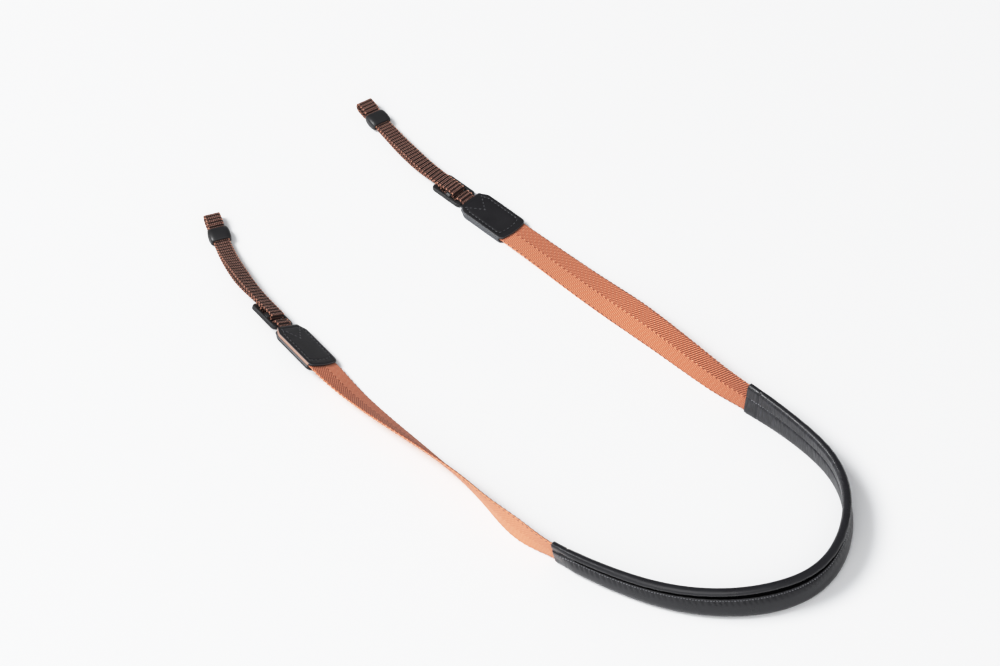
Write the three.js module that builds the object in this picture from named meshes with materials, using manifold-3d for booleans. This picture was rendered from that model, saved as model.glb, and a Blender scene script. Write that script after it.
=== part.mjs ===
// A camera neck strap lying on a table in a loose open loop, in millimetres, +Z up.
// A padded leather band stands on its edge at the bend. On either side of it come a wide webbing, a leather
// tab and a narrow webbing that runs doubled through a slider and a keeper to a small end loop.
import * as THREE from "three";
import { mergeVertices } from "three/addons/utils/BufferGeometryUtils.js";
import Module from "manifold-3d";

const wasm = await Module();
wasm.setup();

// Driving dimensions
const GAP = 0.3;
const PLAY = 0.1;
const WIDE = { width: 20, thick: 1.5, cut: 0.35, length: 197, inPad: 11, inTab: 19 };
const NARROW = { width: 10, thick: 1, inTab: 14 };
const LEATHER = 1.4;
const PAD = {
  length: 316, width: 22.4, inner: 2.3, outer: 3.4, sleeve: 2.15, sleeveLength: 9, step: 7, heel: 0.3,
};
const TAB = {
  length: 38, width: 22, taper: 5.2, inset: 2.4, corner: 1.8, wideCorner: 3.6, ease: 0.2, bow: 1.8, rim: 0.25,
};
const SLIDER = {
  width: 15.8, thick: 2.8, corner: 2.4, rim: 0.4, barRise: 0.25, barThick: 1.6, barCorner: 0.5,
};
const SLOT = { width: 11.4, corner: 0.8 };
const KEEPER = { length: 10.5, width: 13.6, thick: 7, corner: 2.2, holeWidth: 10.7, holeHeight: 3, from: 87 };
const LOOP = { length: 13, height: 5.8, flare: 3.6, spare: 2 };

// Bars and slots of the slider, counted outwards from the tab
const BARS = { near: 2, slot: 6, middle: 11, middleEnd: 14.8, far: 21.5, end: 26 };

// Spacing of the rings that each swept piece is drawn through
const RING = { wide: 3.8, narrow: 5, pad: 5.2, ramp: 2.4, pocket: 3.4 };

// Distances along the strap, measured outwards from the middle of the pad
const PAD_END = PAD.length / 2;
const TAB_START = PAD_END + WIDE.length;
const TAB_END = TAB_START + TAB.length;
const SLIDER_END = TAB_END + BARS.end;
const KEEPER_START = TAB_END + KEEPER.from;
const STRAP_END = KEEPER_START + KEEPER.length + LOOP.length + LOOP.spare;
const FREE_MIDDLE = (SLIDER_END + KEEPER_START) / 2;
const STEP = 1;

// Half the width and half the thickness of whatever touches the table at a station
const TAB_THICK = 2 * (LEATHER + GAP) + WIDE.thick;
const RESTS = {
  keeper: { reach: KEEPER.width / 2, half: KEEPER.thick / 2 },
  tab: { reach: TAB.width / 2, half: TAB_THICK / 2 },
  webbing: { reach: WIDE.width / 2, half: WIDE.thick / 2 },
  pad: { reach: PAD.width / 2, half: PAD.heel },
};

// How the strap lies. along: distance from the pad's middle, left negative. heading: direction in plan.
// roll: how far the outer edge is lifted, 0 lying flat, 90 standing on the inner edge, more leaning inwards.
// Both are in degrees.
const PAD_MIDDLE = { x: 23.01, y: -231.36 };
const LIE = [
  { along: -STRAP_END, heading: -112, roll: 0, on: RESTS.keeper },
  { along: -KEEPER_START, heading: -112, roll: 0, on: RESTS.keeper },
  { along: -FREE_MIDDLE, heading: -107, roll: 14, on: RESTS.tab },
  { along: -SLIDER_END, heading: -93.1, roll: 26.3, on: RESTS.tab },
  { along: -TAB_START, heading: -93.1, roll: 26.3, on: RESTS.tab },
  { along: -320, heading: -89, roll: 37, on: RESTS.webbing },
  { along: -285, heading: -85.5, roll: 48.3, on: RESTS.webbing },
  { along: -250, heading: -86.7, roll: 59.8, on: RESTS.webbing },
  { along: -215, heading: -93.1, roll: 72.6, on: RESTS.webbing },
  { along: -185, heading: -84.1, roll: 87, on: RESTS.webbing },
  { along: -PAD_END, heading: -76.4, roll: 74.7, on: RESTS.pad },
  { along: -110, heading: -65.4, roll: 80.9, on: RESTS.pad },
  { along: -60, heading: -43.1, roll: 91, on: RESTS.pad },
  { along: -20, heading: -19.4, roll: 98.4, on: RESTS.pad },
  { along: 20, heading: 21.6, roll: 97.6, on: RESTS.pad },
  { along: 60, heading: 51.4, roll: 95.6, on: RESTS.pad },
  { along: 110, heading: 88, roll: 92.9, on: RESTS.pad },
  { along: PAD_END, heading: 96.4, roll: 82.6, on: RESTS.pad },
  { along: 190, heading: 92.1, roll: 67.6, on: RESTS.webbing },
  { along: 230, heading: 91.5, roll: 51.2, on: RESTS.webbing },
  { along: 290, heading: 92.9, roll: 15.4, on: RESTS.webbing },
  { along: TAB_START, heading: 94.5, roll: 0, on: RESTS.tab },
  { along: SLIDER_END, heading: 94.5, roll: 0, on: RESTS.tab },
  { along: FREE_MIDDLE, heading: 84.5, roll: 0, on: RESTS.tab },
  { along: KEEPER_START, heading: 82, roll: 0, on: RESTS.keeper },
  { along: STRAP_END, heading: 82, roll: 0, on: RESTS.keeper },
];

// A smooth curve through one column of the table that never overshoots a row
function smooth(column, along) {
  const slope = (i) => (column(LIE[i + 1]) - column(LIE[i])) / (LIE[i + 1].along - LIE[i].along);
  const tangent = (i) => {
    if (i === 0) return slope(0);
    if (i === LIE.length - 1) return slope(i - 1);
    const [before, after] = [slope(i - 1), slope(i)];
    return before * after > 0 ? (2 * before * after) / (before + after) : 0;
  };
  const next = LIE.findIndex((row) => row.along > along);
  const i = Math.max(0, (next < 0 ? LIE.length : next) - 1);
  const row = Math.min(i, LIE.length - 2);
  const span = LIE[row + 1].along - LIE[row].along;
  const t = (along - LIE[row].along) / span;
  const s = 1 - t;
  return (
    (1 + 2 * t) * s * s * column(LIE[row]) +
    t * s * s * span * tangent(row) +
    t * t * (3 - 2 * t) * column(LIE[row + 1]) -
    t * t * s * span * tangent(row + 1)
  );
}

const headingAt = (along) => THREE.MathUtils.degToRad(smooth((row) => row.heading, along));
const rollAt = (along) => THREE.MathUtils.degToRad(smooth((row) => row.roll, along));

// Height of the strap's middle where its lower edge or face touches the table
function heightAt(along) {
  const roll = rollAt(along);
  const reach = smooth((row) => row.on.reach, along);
  const half = smooth((row) => row.on.half, along);
  return reach * Math.sin(roll) + half * Math.abs(Math.cos(roll));
}

function directionAt(along) {
  const rise = (heightAt(along + STEP / 2) - heightAt(along - STEP / 2)) / STEP;
  const level = Math.sqrt(1 - rise * rise);
  const heading = headingAt(along);
  return new THREE.Vector3(Math.cos(heading) * level, Math.sin(heading) * level, rise);
}

// Middle line of the strap in steps of one millimetre, walked both ways from the middle of the pad
function walkStrap() {
  const steps = Math.ceil(STRAP_END / STEP);
  const points = new Map([[0, new THREE.Vector3(PAD_MIDDLE.x, PAD_MIDDLE.y, heightAt(0))]]);
  for (const way of [-1, 1]) {
    for (let i = 1; i <= steps; i++) {
      const from = points.get(way * (i - 1));
      const move = directionAt(way * (i - 0.5) * STEP).multiplyScalar(way * STEP);
      points.set(way * i, from.clone().add(move));
    }
  }
  return points;
}

const MIDDLE_LINE = walkStrap();

// The strap's own axes at a station: ahead along it, across it to the inner edge, and out of its inner face
function frameAt(along) {
  const step = Math.floor(along / STEP);
  const point = MIDDLE_LINE.get(step).clone();
  point.lerp(MIDDLE_LINE.get(step + 1) ?? point, along / STEP - step);
  const ahead = directionAt(along);
  const heading = headingAt(along);
  const inward = new THREE.Vector3(-Math.sin(heading), Math.cos(heading), 0);
  const up = new THREE.Vector3().crossVectors(ahead, inward);
  const roll = rollAt(along);
  const across = inward.clone().multiplyScalar(Math.cos(roll)).addScaledVector(up, -Math.sin(roll));
  const face = up.multiplyScalar(Math.cos(roll)).addScaledVector(inward, Math.sin(roll));
  return { point, ahead, across, face };
}

function place(along, across, face) {
  const frame = frameAt(along);
  return frame.point.addScaledVector(frame.across, across).addScaledVector(frame.face, face);
}

// The left half of the strap runs against the direction of the table, so its own axes are turned half round
const SIDES = [
  { name: "left", way: -1 },
  { name: "right", way: 1 },
];

// Places a piece drawn flat, x outwards from the tab's outer end, y across, z out of the inner face
function seat(mesh, side, out) {
  const frame = frameAt(side.way * (TAB_END + out));
  const basis = [frame.ahead, frame.across].map((axis) => axis.multiplyScalar(side.way));
  const turned = new THREE.Matrix4().makeBasis(basis[0], basis[1], frame.face);
  mesh.quaternion.setFromRotationMatrix(turned);
  mesh.position.copy(frame.point);
  return mesh;
}

// A closed skin over a row of rings with the same number of points, capped at both ends
function loft(rings, outline) {
  const count = outline.length;
  const positions = rings.flatMap((ring) => ring.flatMap((point) => point.toArray()));
  const faces = [];
  for (let r = 0; r + 1 < rings.length; r++) {
    for (let i = 0; i < count; i++) {
      const [a, b] = [r * count + i, r * count + ((i + 1) % count)];
      faces.push(a, b, b + count, a, b + count, a + count);
    }
  }
  const last = (rings.length - 1) * count;
  for (const [a, b, c] of THREE.ShapeUtils.triangulateShape(outline, [])) {
    faces.push(a, c, b, last + a, last + b, last + c);
  }
  return facingOut(positions, faces);
}

function facingOut(positions, faces) {
  const at = (i) => new THREE.Vector3().fromArray(positions, 3 * i);
  let volume = 0;
  for (let i = 0; i < faces.length; i += 3) {
    const [a, b, c] = [at(faces[i]), at(faces[i + 1]), at(faces[i + 2])];
    volume += a.dot(b.cross(c));
  }
  const geometry = new THREE.BufferGeometry();
  geometry.setAttribute("position", new THREE.Float32BufferAttribute(positions, 3));
  geometry.setIndex(volume > 0 ? faces : faces.reverse());
  return geometry;
}

function toSolid(geometry) {
  const bare = new THREE.BufferGeometry();
  bare.setAttribute("position", geometry.getAttribute("position"));
  if (geometry.index) bare.setIndex(geometry.index);
  const merged = mergeVertices(bare, 1e-4);
  const mesh = new wasm.Mesh({
    numProp: 3,
    vertProperties: merged.attributes.position.array,
    triVerts: new Uint32Array(merged.index.array),
  });
  return new wasm.Manifold(mesh);
}

function toGeometry(solid) {
  const mesh = solid.getMesh();
  const geometry = new THREE.BufferGeometry();
  geometry.setAttribute("position", new THREE.BufferAttribute(mesh.vertProperties, 3));
  geometry.setIndex(new THREE.BufferAttribute(mesh.triVerts, 1));
  return geometry;
}

const v2 = (x, y) => new THREE.Vector2(x, y);

// Rectangle with its corners cut, drawn across (x) and through the thickness (y)
function webbingOutline(width, thick, cut) {
  const [w, t] = [width / 2, thick / 2];
  return [
    v2(-w, -t + cut), v2(-w + cut, -t), v2(w - cut, -t), v2(w, -t + cut),
    v2(w, t - cut), v2(w - cut, t), v2(-w + cut, t), v2(-w, t - cut),
  ];
}

function spaced(from, to, step) {
  const count = Math.max(1, Math.round(Math.abs(to - from) / step));
  return Array.from({ length: count + 1 }, (_, i) => THREE.MathUtils.lerp(from, to, i / count));
}

function sweepAlong(stations, outline) {
  const rings = stations.map((along) => outline.map((p) => place(along, p.x, p.y)));
  return loft(rings, outline);
}

// Wide webbing: one flat woven tape from its pocket in the pad to its seat between the leathers of the tab
function wideWebbing(side) {
  const stations = spaced(PAD_END - WIDE.inPad, TAB_START + WIDE.inTab, RING.wide).map((d) => side.way * d);
  return sweepAlong(stations, webbingOutline(WIDE.width, WIDE.thick, WIDE.cut));
}

// Shoulder pad: its section from the upper edge to the lower, as shares of its half width and of its depths.
// The outer face has a full roll along the upper edge, a deep groove under it, a low lip, a line of stitches
// and a broad lower lobe. The inner face is flat, with a shallow line of stitches.
// sleeve: the same section at the flat ends that hold the webbing.
const BAND = [
  { across: -1, outer: 0, inner: 0, sleeve: 0 },
  { across: -0.97, outer: 0.45, inner: 0.5, sleeve: 0.65 },
  { across: -0.89, outer: 0.8, inner: 0.82, sleeve: 0.9 },
  { across: -0.78, outer: 0.92, inner: 1, sleeve: 1 },
  { across: -0.63, outer: 0.72, inner: 1, sleeve: 1 },
  { across: -0.5, outer: 0.12, inner: 1, sleeve: 1 },
  { across: -0.38, outer: 0.14, inner: 1, sleeve: 1 },
  { across: -0.28, outer: 0.44, inner: 1, sleeve: 1 },
  { across: -0.1, outer: 0.45, inner: 0.94, sleeve: 1 },
  { across: 0, outer: 0.36, inner: 0.8, sleeve: 0.94 },
  { across: 0.1, outer: 0.5, inner: 0.94, sleeve: 1 },
  { across: 0.42, outer: 0.96, inner: 1, sleeve: 1 },
  { across: 0.68, outer: 0.95, inner: 0.94, sleeve: 1 },
  { across: 0.86, outer: 0.68, inner: 0.74, sleeve: 0.9 },
  { across: 0.965, outer: 0.36, inner: 0.4, sleeve: 0.65 },
  { across: 1, outer: 0, inner: 0, sleeve: 0 },
];

function padOutline(along) {
  const inset = PAD_END - Math.abs(along);
  const swell = THREE.MathUtils.smoothstep(inset, PAD.sleeveLength, PAD.sleeveLength + PAD.step);
  const point = (row, face) => {
    const full = face < 0 ? row.outer * PAD.outer : row.inner * PAD.inner;
    const depth = THREE.MathUtils.lerp(row.sleeve * PAD.sleeve, full, swell);
    return v2((row.across * PAD.width) / 2, face * depth);
  };
  const outer = BAND.map((row) => point(row, -1));
  const inner = BAND.slice(1, -1).map((row) => point(row, 1));
  return [...outer, ...inner.reverse()];
}

function shoulderPad() {
  const ramp = PAD_END - PAD.sleeveLength - PAD.step;
  const swelling = spaced(ramp, PAD_END - PAD.sleeveLength, RING.ramp).slice(1);
  const half = [...spaced(0, ramp, RING.pad), ...swelling, PAD_END];
  const stations = [...half.slice(1).map((d) => -d).reverse(), ...half];
  const rings = stations.map((along) => padOutline(along).map((p) => place(along, p.x, p.y)));
  let solid = toSolid(loft(rings, padOutline(PAD_END)));
  const pocket = webbingOutline(WIDE.width + 2 * GAP, WIDE.thick + 2 * GAP, WIDE.cut);
  for (const { way } of SIDES) {
    const depth = spaced(PAD_END - WIDE.inPad - GAP, PAD_END + STEP, RING.pocket).map((d) => way * d);
    solid = solid.subtract(toSolid(sweepAlong(depth, pocket)));
  }
  return toGeometry(solid);
}

// Leather tab: a plate that tapers to the narrow webbing and bows out a little over the wide one
function tabShape() {
  const [half, tip] = [TAB.width / 2, TAB.width / 2 - TAB.inset];
  const [wideEnd, r, wide] = [-TAB.length, TAB.corner, TAB.wideCorner];
  const shape = new THREE.Shape();
  shape.moveTo(-r, -tip);
  shape.quadraticCurveTo(0, -tip + TAB.ease, 0, -tip + r);
  shape.lineTo(0, tip - r);
  shape.quadraticCurveTo(0, tip - TAB.ease, -r, tip);
  shape.quadraticCurveTo(-TAB.taper, half, -TAB.taper - r, half);
  shape.lineTo(wideEnd + wide, half);
  shape.quadraticCurveTo(wideEnd, half, wideEnd - TAB.ease, half - wide);
  shape.quadraticCurveTo(wideEnd - TAB.bow, 0, wideEnd - TAB.ease, -half + wide);
  shape.quadraticCurveTo(wideEnd, -half, wideEnd + wide, -half);
  shape.lineTo(-TAB.taper - r, -half);
  shape.quadraticCurveTo(-TAB.taper, -half, -r, -tip);
  return shape;
}

function tabLeather(face) {
  const geometry = new THREE.ExtrudeGeometry(tabShape(), {
    depth: LEATHER - 2 * TAB.rim,
    bevelThickness: TAB.rim,
    bevelSize: TAB.rim,
    bevelOffset: -TAB.rim,
    bevelSegments: 1,
    curveSegments: 4,
  });
  const under = WIDE.thick / 2 + GAP;
  return geometry.translate(0, 0, TAB.rim + (face > 0 ? under : -under - LEATHER));
}

// Slider: two end bars and a raised middle bar, with heights from the strap's middle
const SLIDER_LOW = -TAB_THICK / 2 + GAP;
const SLIDER_TOP = SLIDER_LOW + SLIDER.thick;
const BAR_LOW = SLIDER_TOP - SLIDER.barRise;
const BAR_TOP = BAR_LOW + SLIDER.barThick;

function roundedBox(left, right, halfWidth, radius, Kind = THREE.Shape) {
  const shape = new Kind();
  shape.moveTo(left + radius, -halfWidth);
  shape.lineTo(right - radius, -halfWidth);
  shape.absarc(right - radius, -halfWidth + radius, radius, -Math.PI / 2, 0);
  shape.absarc(right - radius, halfWidth - radius, radius, 0, Math.PI / 2);
  shape.absarc(left + radius, halfWidth - radius, radius, Math.PI / 2, Math.PI);
  shape.absarc(left + radius, -halfWidth + radius, radius, Math.PI, 1.5 * Math.PI);
  return shape;
}

function slider() {
  const outline = roundedBox(BARS.near, BARS.end, SLIDER.width / 2, SLIDER.corner);
  outline.holes.push(roundedBox(BARS.slot, BARS.far, SLOT.width / 2, SLOT.corner, THREE.Path));
  const frame = new THREE.ExtrudeGeometry(outline, {
    depth: SLIDER.thick - 2 * SLIDER.rim,
    bevelThickness: SLIDER.rim,
    bevelSize: SLIDER.rim,
    bevelOffset: -SLIDER.rim,
    bevelSegments: 1,
    curveSegments: 4,
  }).translate(0, 0, SLIDER_LOW + SLIDER.rim);
  const length = SLIDER.width - 2 * SLIDER.rim;
  const section = roundedBox(BARS.middle, BARS.middleEnd, SLIDER.barThick / 2, SLIDER.barCorner);
  const bar = new THREE.ExtrudeGeometry(section, { depth: length, bevelEnabled: false, curveSegments: 3 })
    .rotateX(Math.PI / 2)
    .translate(0, length / 2, (BAR_LOW + BAR_TOP) / 2);
  return toGeometry(toSolid(frame).add(toSolid(bar)));
}

// Keeper: a moulded barrel loop that holds the two layers of narrow webbing together
const BARREL = [
  { share: 0, width: 0.88, thick: 0.72 },
  { share: 0.07, width: 0.93, thick: 0.83 },
  { share: 0.25, width: 0.98, thick: 0.95 },
  { share: 0.5, width: 1, thick: 1 },
  { share: 0.75, width: 0.98, thick: 0.95 },
  { share: 0.93, width: 0.93, thick: 0.83 },
  { share: 1, width: 0.88, thick: 0.72 },
];

function keeper() {
  const rings = BARREL.map((row) => {
    const [w, t] = [(row.width * KEEPER.width) / 2, (row.thick * KEEPER.thick) / 2];
    const outline = roundedBox(-w, w, t, KEEPER.corner).getPoints(3).slice(0, -1);
    return { x: KEEPER.from + row.share * KEEPER.length, outline };
  });
  const placed = rings.map((ring) => ring.outline.map((p) => new THREE.Vector3(ring.x, p.x, p.y)));
  const barrel = loft(placed, rings[0].outline);
  const hole = new THREE.BoxGeometry(KEEPER.length + 2 * STEP, KEEPER.holeWidth, KEEPER.holeHeight);
  hole.translate(KEEPER.from + KEEPER.length / 2, 0, 0);
  return toGeometry(toSolid(barrel).subtract(toSolid(hole)));
}

// Narrow webbing, from its seat in the tab through the slider and keeper, round the end loop and back.
// out: distance outwards from the tab. lift: above the strap's middle. round: radius of the turn there.
const OVER = SLIDER_TOP + GAP + NARROW.thick / 2;
const UNDER = SLIDER_LOW - PLAY + NARROW.thick / 2;
const TUCKED = BAR_LOW - GAP - NARROW.thick / 2;
const RETURN = BAR_TOP + GAP + NARROW.thick / 2;
const LAYER = (NARROW.thick + GAP) / 2;
const NEAR_DROP = BARS.slot + GAP + PLAY + NARROW.thick / 2;
const FAR_RISE = BARS.far - GAP - PLAY - NARROW.thick / 2;
const BAR_WRAP = BARS.middle - GAP - PLAY - NARROW.thick / 2;
const KEEPER_END = KEEPER.from + KEEPER.length;
const LOOP_WIDE = KEEPER_END + LOOP.flare;
const LOOP_END = KEEPER_END + LOOP.length - NARROW.thick / 2;
const LOOP_HALF = LOOP.height / 2;
const NARROW_ROUTE = [
  { out: -NARROW.inTab, lift: 0, round: 0 },
  { out: 0.6, lift: 0, round: 1.6 },
  { out: 2.6, lift: OVER, round: 1.6 },
  { out: NEAR_DROP, lift: OVER, round: 0.9 },
  { out: NEAR_DROP, lift: UNDER, round: 0.9 },
  { out: FAR_RISE, lift: UNDER, round: 0.9 },
  { out: FAR_RISE, lift: OVER, round: 0.9 },
  { out: BARS.end + 1, lift: OVER, round: 30 },
  { out: KEEPER.from - 2, lift: -LAYER, round: 30 },
  { out: KEEPER_END, lift: -LAYER, round: 2.4 },
  { out: LOOP_WIDE, lift: -LOOP_HALF, round: 2.4 },
  { out: LOOP_END, lift: -LOOP_HALF, round: 2.8 },
  { out: LOOP_END, lift: LOOP_HALF, round: 2.8 },
  { out: LOOP_WIDE, lift: LOOP_HALF, round: 2.4 },
  { out: KEEPER_END, lift: LAYER, round: 2.4 },
  { out: KEEPER.from - 2, lift: LAYER, round: 30 },
  { out: 52, lift: 4.2, round: 110 },
  { out: BARS.end, lift: RETURN, round: 30 },
  { out: BAR_WRAP, lift: RETURN, round: 0.9 },
  { out: BAR_WRAP, lift: TUCKED, round: 0.9 },
  { out: BARS.middleEnd + 1.4, lift: TUCKED, round: 0 },
];

const ARC_SHARES = [0, 0.25, 0.5, 0.75, 1];

// Turns a table of corners into points on straight runs joined by arcs
function roundedRoute(rows, step, arcSteps) {
  const corners = rows.map((row) => v2(row.out, row.lift));
  const points = [corners[0]];
  for (let i = 1; i + 1 < rows.length; i++) {
    const back = corners[i - 1].clone().sub(corners[i]).normalize();
    const on = corners[i + 1].clone().sub(corners[i]).normalize();
    const half = Math.acos(THREE.MathUtils.clamp(back.dot(on), -1, 1)) / 2;
    const start = corners[i].clone().addScaledVector(back, rows[i].round / Math.tan(half));
    const toCentre = back.clone().add(on).normalize();
    const centre = corners[i].clone().addScaledVector(toCentre, rows[i].round / Math.sin(half));
    const turn = (Math.PI - 2 * half) * Math.sign(back.cross(on)) * -1;
    points.push(...arcSteps.map((share) => start.clone().rotateAround(centre, turn * share)));
  }
  points.push(corners.at(-1));
  const runs = points.slice(1).map((point, i) => {
    const pieces = Math.ceil(points[i].distanceTo(point) / step);
    return Array.from({ length: pieces }, (_, k) => points[i].clone().lerp(point, (k + 1) / pieces));
  });
  return [points[0], ...runs.flat()];
}

function narrowWebbing(side) {
  const route = roundedRoute(NARROW_ROUTE, RING.narrow, ARC_SHARES);
  const outline = webbingOutline(NARROW.width, NARROW.thick, 0).filter((_, i) => i % 2 === 0);
  const rings = route.map((point, i) => {
    const [before, after] = [route[Math.max(0, i - 1)], route[Math.min(route.length - 1, i + 1)]];
    const slope = after.clone().sub(before).normalize();
    return outline.map((p) => {
      const [out, lift] = [point.x - slope.y * p.y, point.y + slope.x * p.y];
      return place(side.way * (TAB_END + out), side.way * p.x, lift);
    });
  });
  return loft(rings, outline);
}

const FINISH = {
  leather: { color: 0x26262b, roughness: 0.55, metalness: 0 },
  wide: { color: 0xcb8260, roughness: 0.85, metalness: 0 },
  narrow: { color: 0x5a372b, roughness: 0.85, metalness: 0 },
  plastic: { color: 0x1d1d1f, roughness: 0.5, metalness: 0 },
};

function named(name, geometry, finish) {
  const mesh = new THREE.Mesh(geometry, new THREE.MeshStandardMaterial(FINISH[finish]));
  mesh.name = name;
  return mesh;
}

const strap = new THREE.Group();
strap.name = "camera_strap";
strap.add(named("shoulder_pad", shoulderPad(), "leather"));
for (const side of SIDES) {
  strap.add(
    named(`wide_webbing_${side.name}`, wideWebbing(side), "wide"),
    named(`narrow_webbing_${side.name}`, narrowWebbing(side), "narrow"),
    seat(named(`tab_top_${side.name}`, tabLeather(1), "leather"), side, 0),
    seat(named(`tab_bottom_${side.name}`, tabLeather(-1), "leather"), side, 0),
    seat(named(`slider_${side.name}`, slider(), "plastic"), side, 0),
  );
  const middle = KEEPER.from + KEEPER.length / 2;
  strap.add(seat(named(`keeper_${side.name}`, keeper().translate(-middle, 0, 0), "plastic"), side, middle));
}

export default strap;
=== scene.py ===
# %% [markdown]
# # A camera neck strap, lying in a loose open loop
#
# The strap is a padded leather band, two woven tapes, four little leather plates and some moulded plastic.
# A maker cuts and sews all of it flat on a bench, and only then does it twist and bend. This lesson works the
# same way: each piece is modelled flat, in millimetres along and across the strap, and one function then lays
# it on the table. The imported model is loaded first, because every piece has to sit where its solid is.

# %% Load the frame
import math
from collections import namedtuple

import bmesh
import bpy
import numpy as np
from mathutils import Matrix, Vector


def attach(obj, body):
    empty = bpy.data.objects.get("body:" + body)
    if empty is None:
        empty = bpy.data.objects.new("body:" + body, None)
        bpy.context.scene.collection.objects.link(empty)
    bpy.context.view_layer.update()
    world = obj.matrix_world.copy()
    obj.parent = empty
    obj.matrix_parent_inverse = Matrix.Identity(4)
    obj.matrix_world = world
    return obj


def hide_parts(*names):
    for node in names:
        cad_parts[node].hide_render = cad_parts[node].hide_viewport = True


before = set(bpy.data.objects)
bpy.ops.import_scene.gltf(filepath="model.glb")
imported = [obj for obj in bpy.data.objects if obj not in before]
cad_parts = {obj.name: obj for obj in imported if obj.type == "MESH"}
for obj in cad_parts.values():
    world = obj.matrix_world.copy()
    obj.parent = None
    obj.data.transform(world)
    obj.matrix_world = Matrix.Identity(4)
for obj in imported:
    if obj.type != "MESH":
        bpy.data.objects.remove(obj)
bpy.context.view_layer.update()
MM = 0.001
SIDES = {"left": -1, "right": 1}
print("nodes in the frame:", ", ".join(sorted(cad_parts)))

# %% [markdown]
# ## The camera
#
# A long lens from two metres away keeps the strap's two halves nearly parallel, as a product photographer
# would. The camera is set by what a person could measure in a studio: the point it looks at, how far away it
# stands, how far round and how high.

# %% Camera
AIM = Vector((0.0175, 0.0318, 0.0))
DISTANCE, AZIMUTH, ELEVATION = 2.096, math.radians(-41), math.radians(48)
FILM_WIDTH, FOCAL_LENGTH = 36, 126
BACK = Vector((
    math.sin(AZIMUTH) * math.cos(ELEVATION),
    -math.cos(AZIMUTH) * math.cos(ELEVATION),
    math.sin(ELEVATION),
))


def new_object(name, data):
    """Puts a camera, lamp or mesh into the scene."""
    made = bpy.data.objects.new(name, data)
    bpy.context.scene.collection.objects.link(made)
    return made


camera = new_object("camera", bpy.data.cameras.new("camera"))
camera.data.sensor_width = FILM_WIDTH
camera.data.lens = FOCAL_LENGTH
camera.location = AIM + BACK * DISTANCE
camera.rotation_euler = (-BACK).to_track_quat("-Z", "Y").to_euler()
bpy.context.scene.camera = camera
print("camera at", [round(x, 3) for x in camera.location])

# %% [markdown]
# ## How the strap lies
#
# A strap is a ribbon: at each place along it, it has a heading on the table and a roll about its own length.
# A short table gives both, and the height follows, because some edge or face always touches the table. The
# middle line is then walked in steps of a millimetre, the way one would unroll a tape measure.

# %% Lengths along the strap, in millimetres from the middle of the pad
PAD_END = 158
TAB_START = PAD_END + 197
TAB_END = TAB_START + 38
SLIDER_END = TAB_END + 26
KEEPER_START = TAB_END + 87
KEEPER_LENGTH = 10.5
LOOP_LENGTH = 13
STRAP_END = KEEPER_START + KEEPER_LENGTH + LOOP_LENGTH + 2
FREE_MIDDLE = (SLIDER_END + KEEPER_START) / 2

# Half the width and half the thickness of whatever touches the table
ON_KEEPER, ON_TAB, ON_WEBBING, ON_PAD = (6.8, 3.5), (11, 2.45), (10, 0.75), (11.2, 0.3)

# Columns: along, heading in degrees, roll in degrees, reach, half
LIE = np.array([
    (-STRAP_END, -112, 0, *ON_KEEPER),
    (-KEEPER_START, -112, 0, *ON_KEEPER),
    (-FREE_MIDDLE, -107, 14, *ON_TAB),
    (-SLIDER_END, -93.1, 26.3, *ON_TAB),
    (-TAB_START, -93.1, 26.3, *ON_TAB),
    (-320, -89, 37, *ON_WEBBING),
    (-285, -85.5, 48.3, *ON_WEBBING),
    (-250, -86.7, 59.8, *ON_WEBBING),
    (-215, -93.1, 72.6, *ON_WEBBING),
    (-185, -84.1, 87, *ON_WEBBING),
    (-PAD_END, -76.4, 74.7, *ON_PAD),
    (-110, -65.4, 80.9, *ON_PAD),
    (-60, -43.1, 91, *ON_PAD),
    (-20, -19.4, 98.4, *ON_PAD),
    (20, 21.6, 97.6, *ON_PAD),
    (60, 51.4, 95.6, *ON_PAD),
    (110, 88, 92.9, *ON_PAD),
    (PAD_END, 96.4, 82.6, *ON_PAD),
    (190, 92.1, 67.6, *ON_WEBBING),
    (230, 91.5, 51.2, *ON_WEBBING),
    (290, 92.9, 15.4, *ON_WEBBING),
    (TAB_START, 94.5, 0, *ON_TAB),
    (SLIDER_END, 94.5, 0, *ON_TAB),
    (FREE_MIDDLE, 84.5, 0, *ON_TAB),
    (KEEPER_START, 82, 0, *ON_KEEPER),
    (STRAP_END, 82, 0, *ON_KEEPER),
])
HEADING, ROLL, REACH, HALF = 1, 2, 3, 4
PAD_MIDDLE = (23.01, -231.36)


def between(t, start, end, leaving, arriving):
    """A smooth curve from one value to the next, with the slope at each end."""
    s = 1 - t
    return (1 + 2 * t) * s * s * start + t * t * (3 - 2 * t) * end + t * s * (s * leaving - t * arriving)


def smooth(column, along):
    """A curve through one column of the table that never overshoots a row."""
    x, y = LIE[:, 0], LIE[:, column]
    slope = np.diff(y) / np.diff(x)
    before, after = slope[:-1], slope[1:]
    same_way = before * after > 0
    bend = np.where(same_way, 2 * before * after / np.where(same_way, before + after, 1), 0)
    tangent = np.concatenate([slope[:1], bend, slope[-1:]])
    i = np.clip(np.searchsorted(x, along, side="right") - 1, 0, len(x) - 2)
    span = x[i + 1] - x[i]
    return between((along - x[i]) / span, y[i], y[i + 1], span * tangent[i], span * tangent[i + 1])


def height(along):
    """How high the middle of the strap is, so that its lowest edge or face touches the table."""
    roll = np.radians(smooth(ROLL, along))
    return smooth(REACH, along) * np.sin(roll) + smooth(HALF, along) * np.abs(np.cos(roll))


def direction(along):
    rise = height(along + 0.5) - height(along - 0.5)
    level = np.sqrt(1 - rise * rise)
    heading = np.radians(smooth(HEADING, along))
    return np.stack([np.cos(heading) * level, np.sin(heading) * level, rise], -1)


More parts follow.
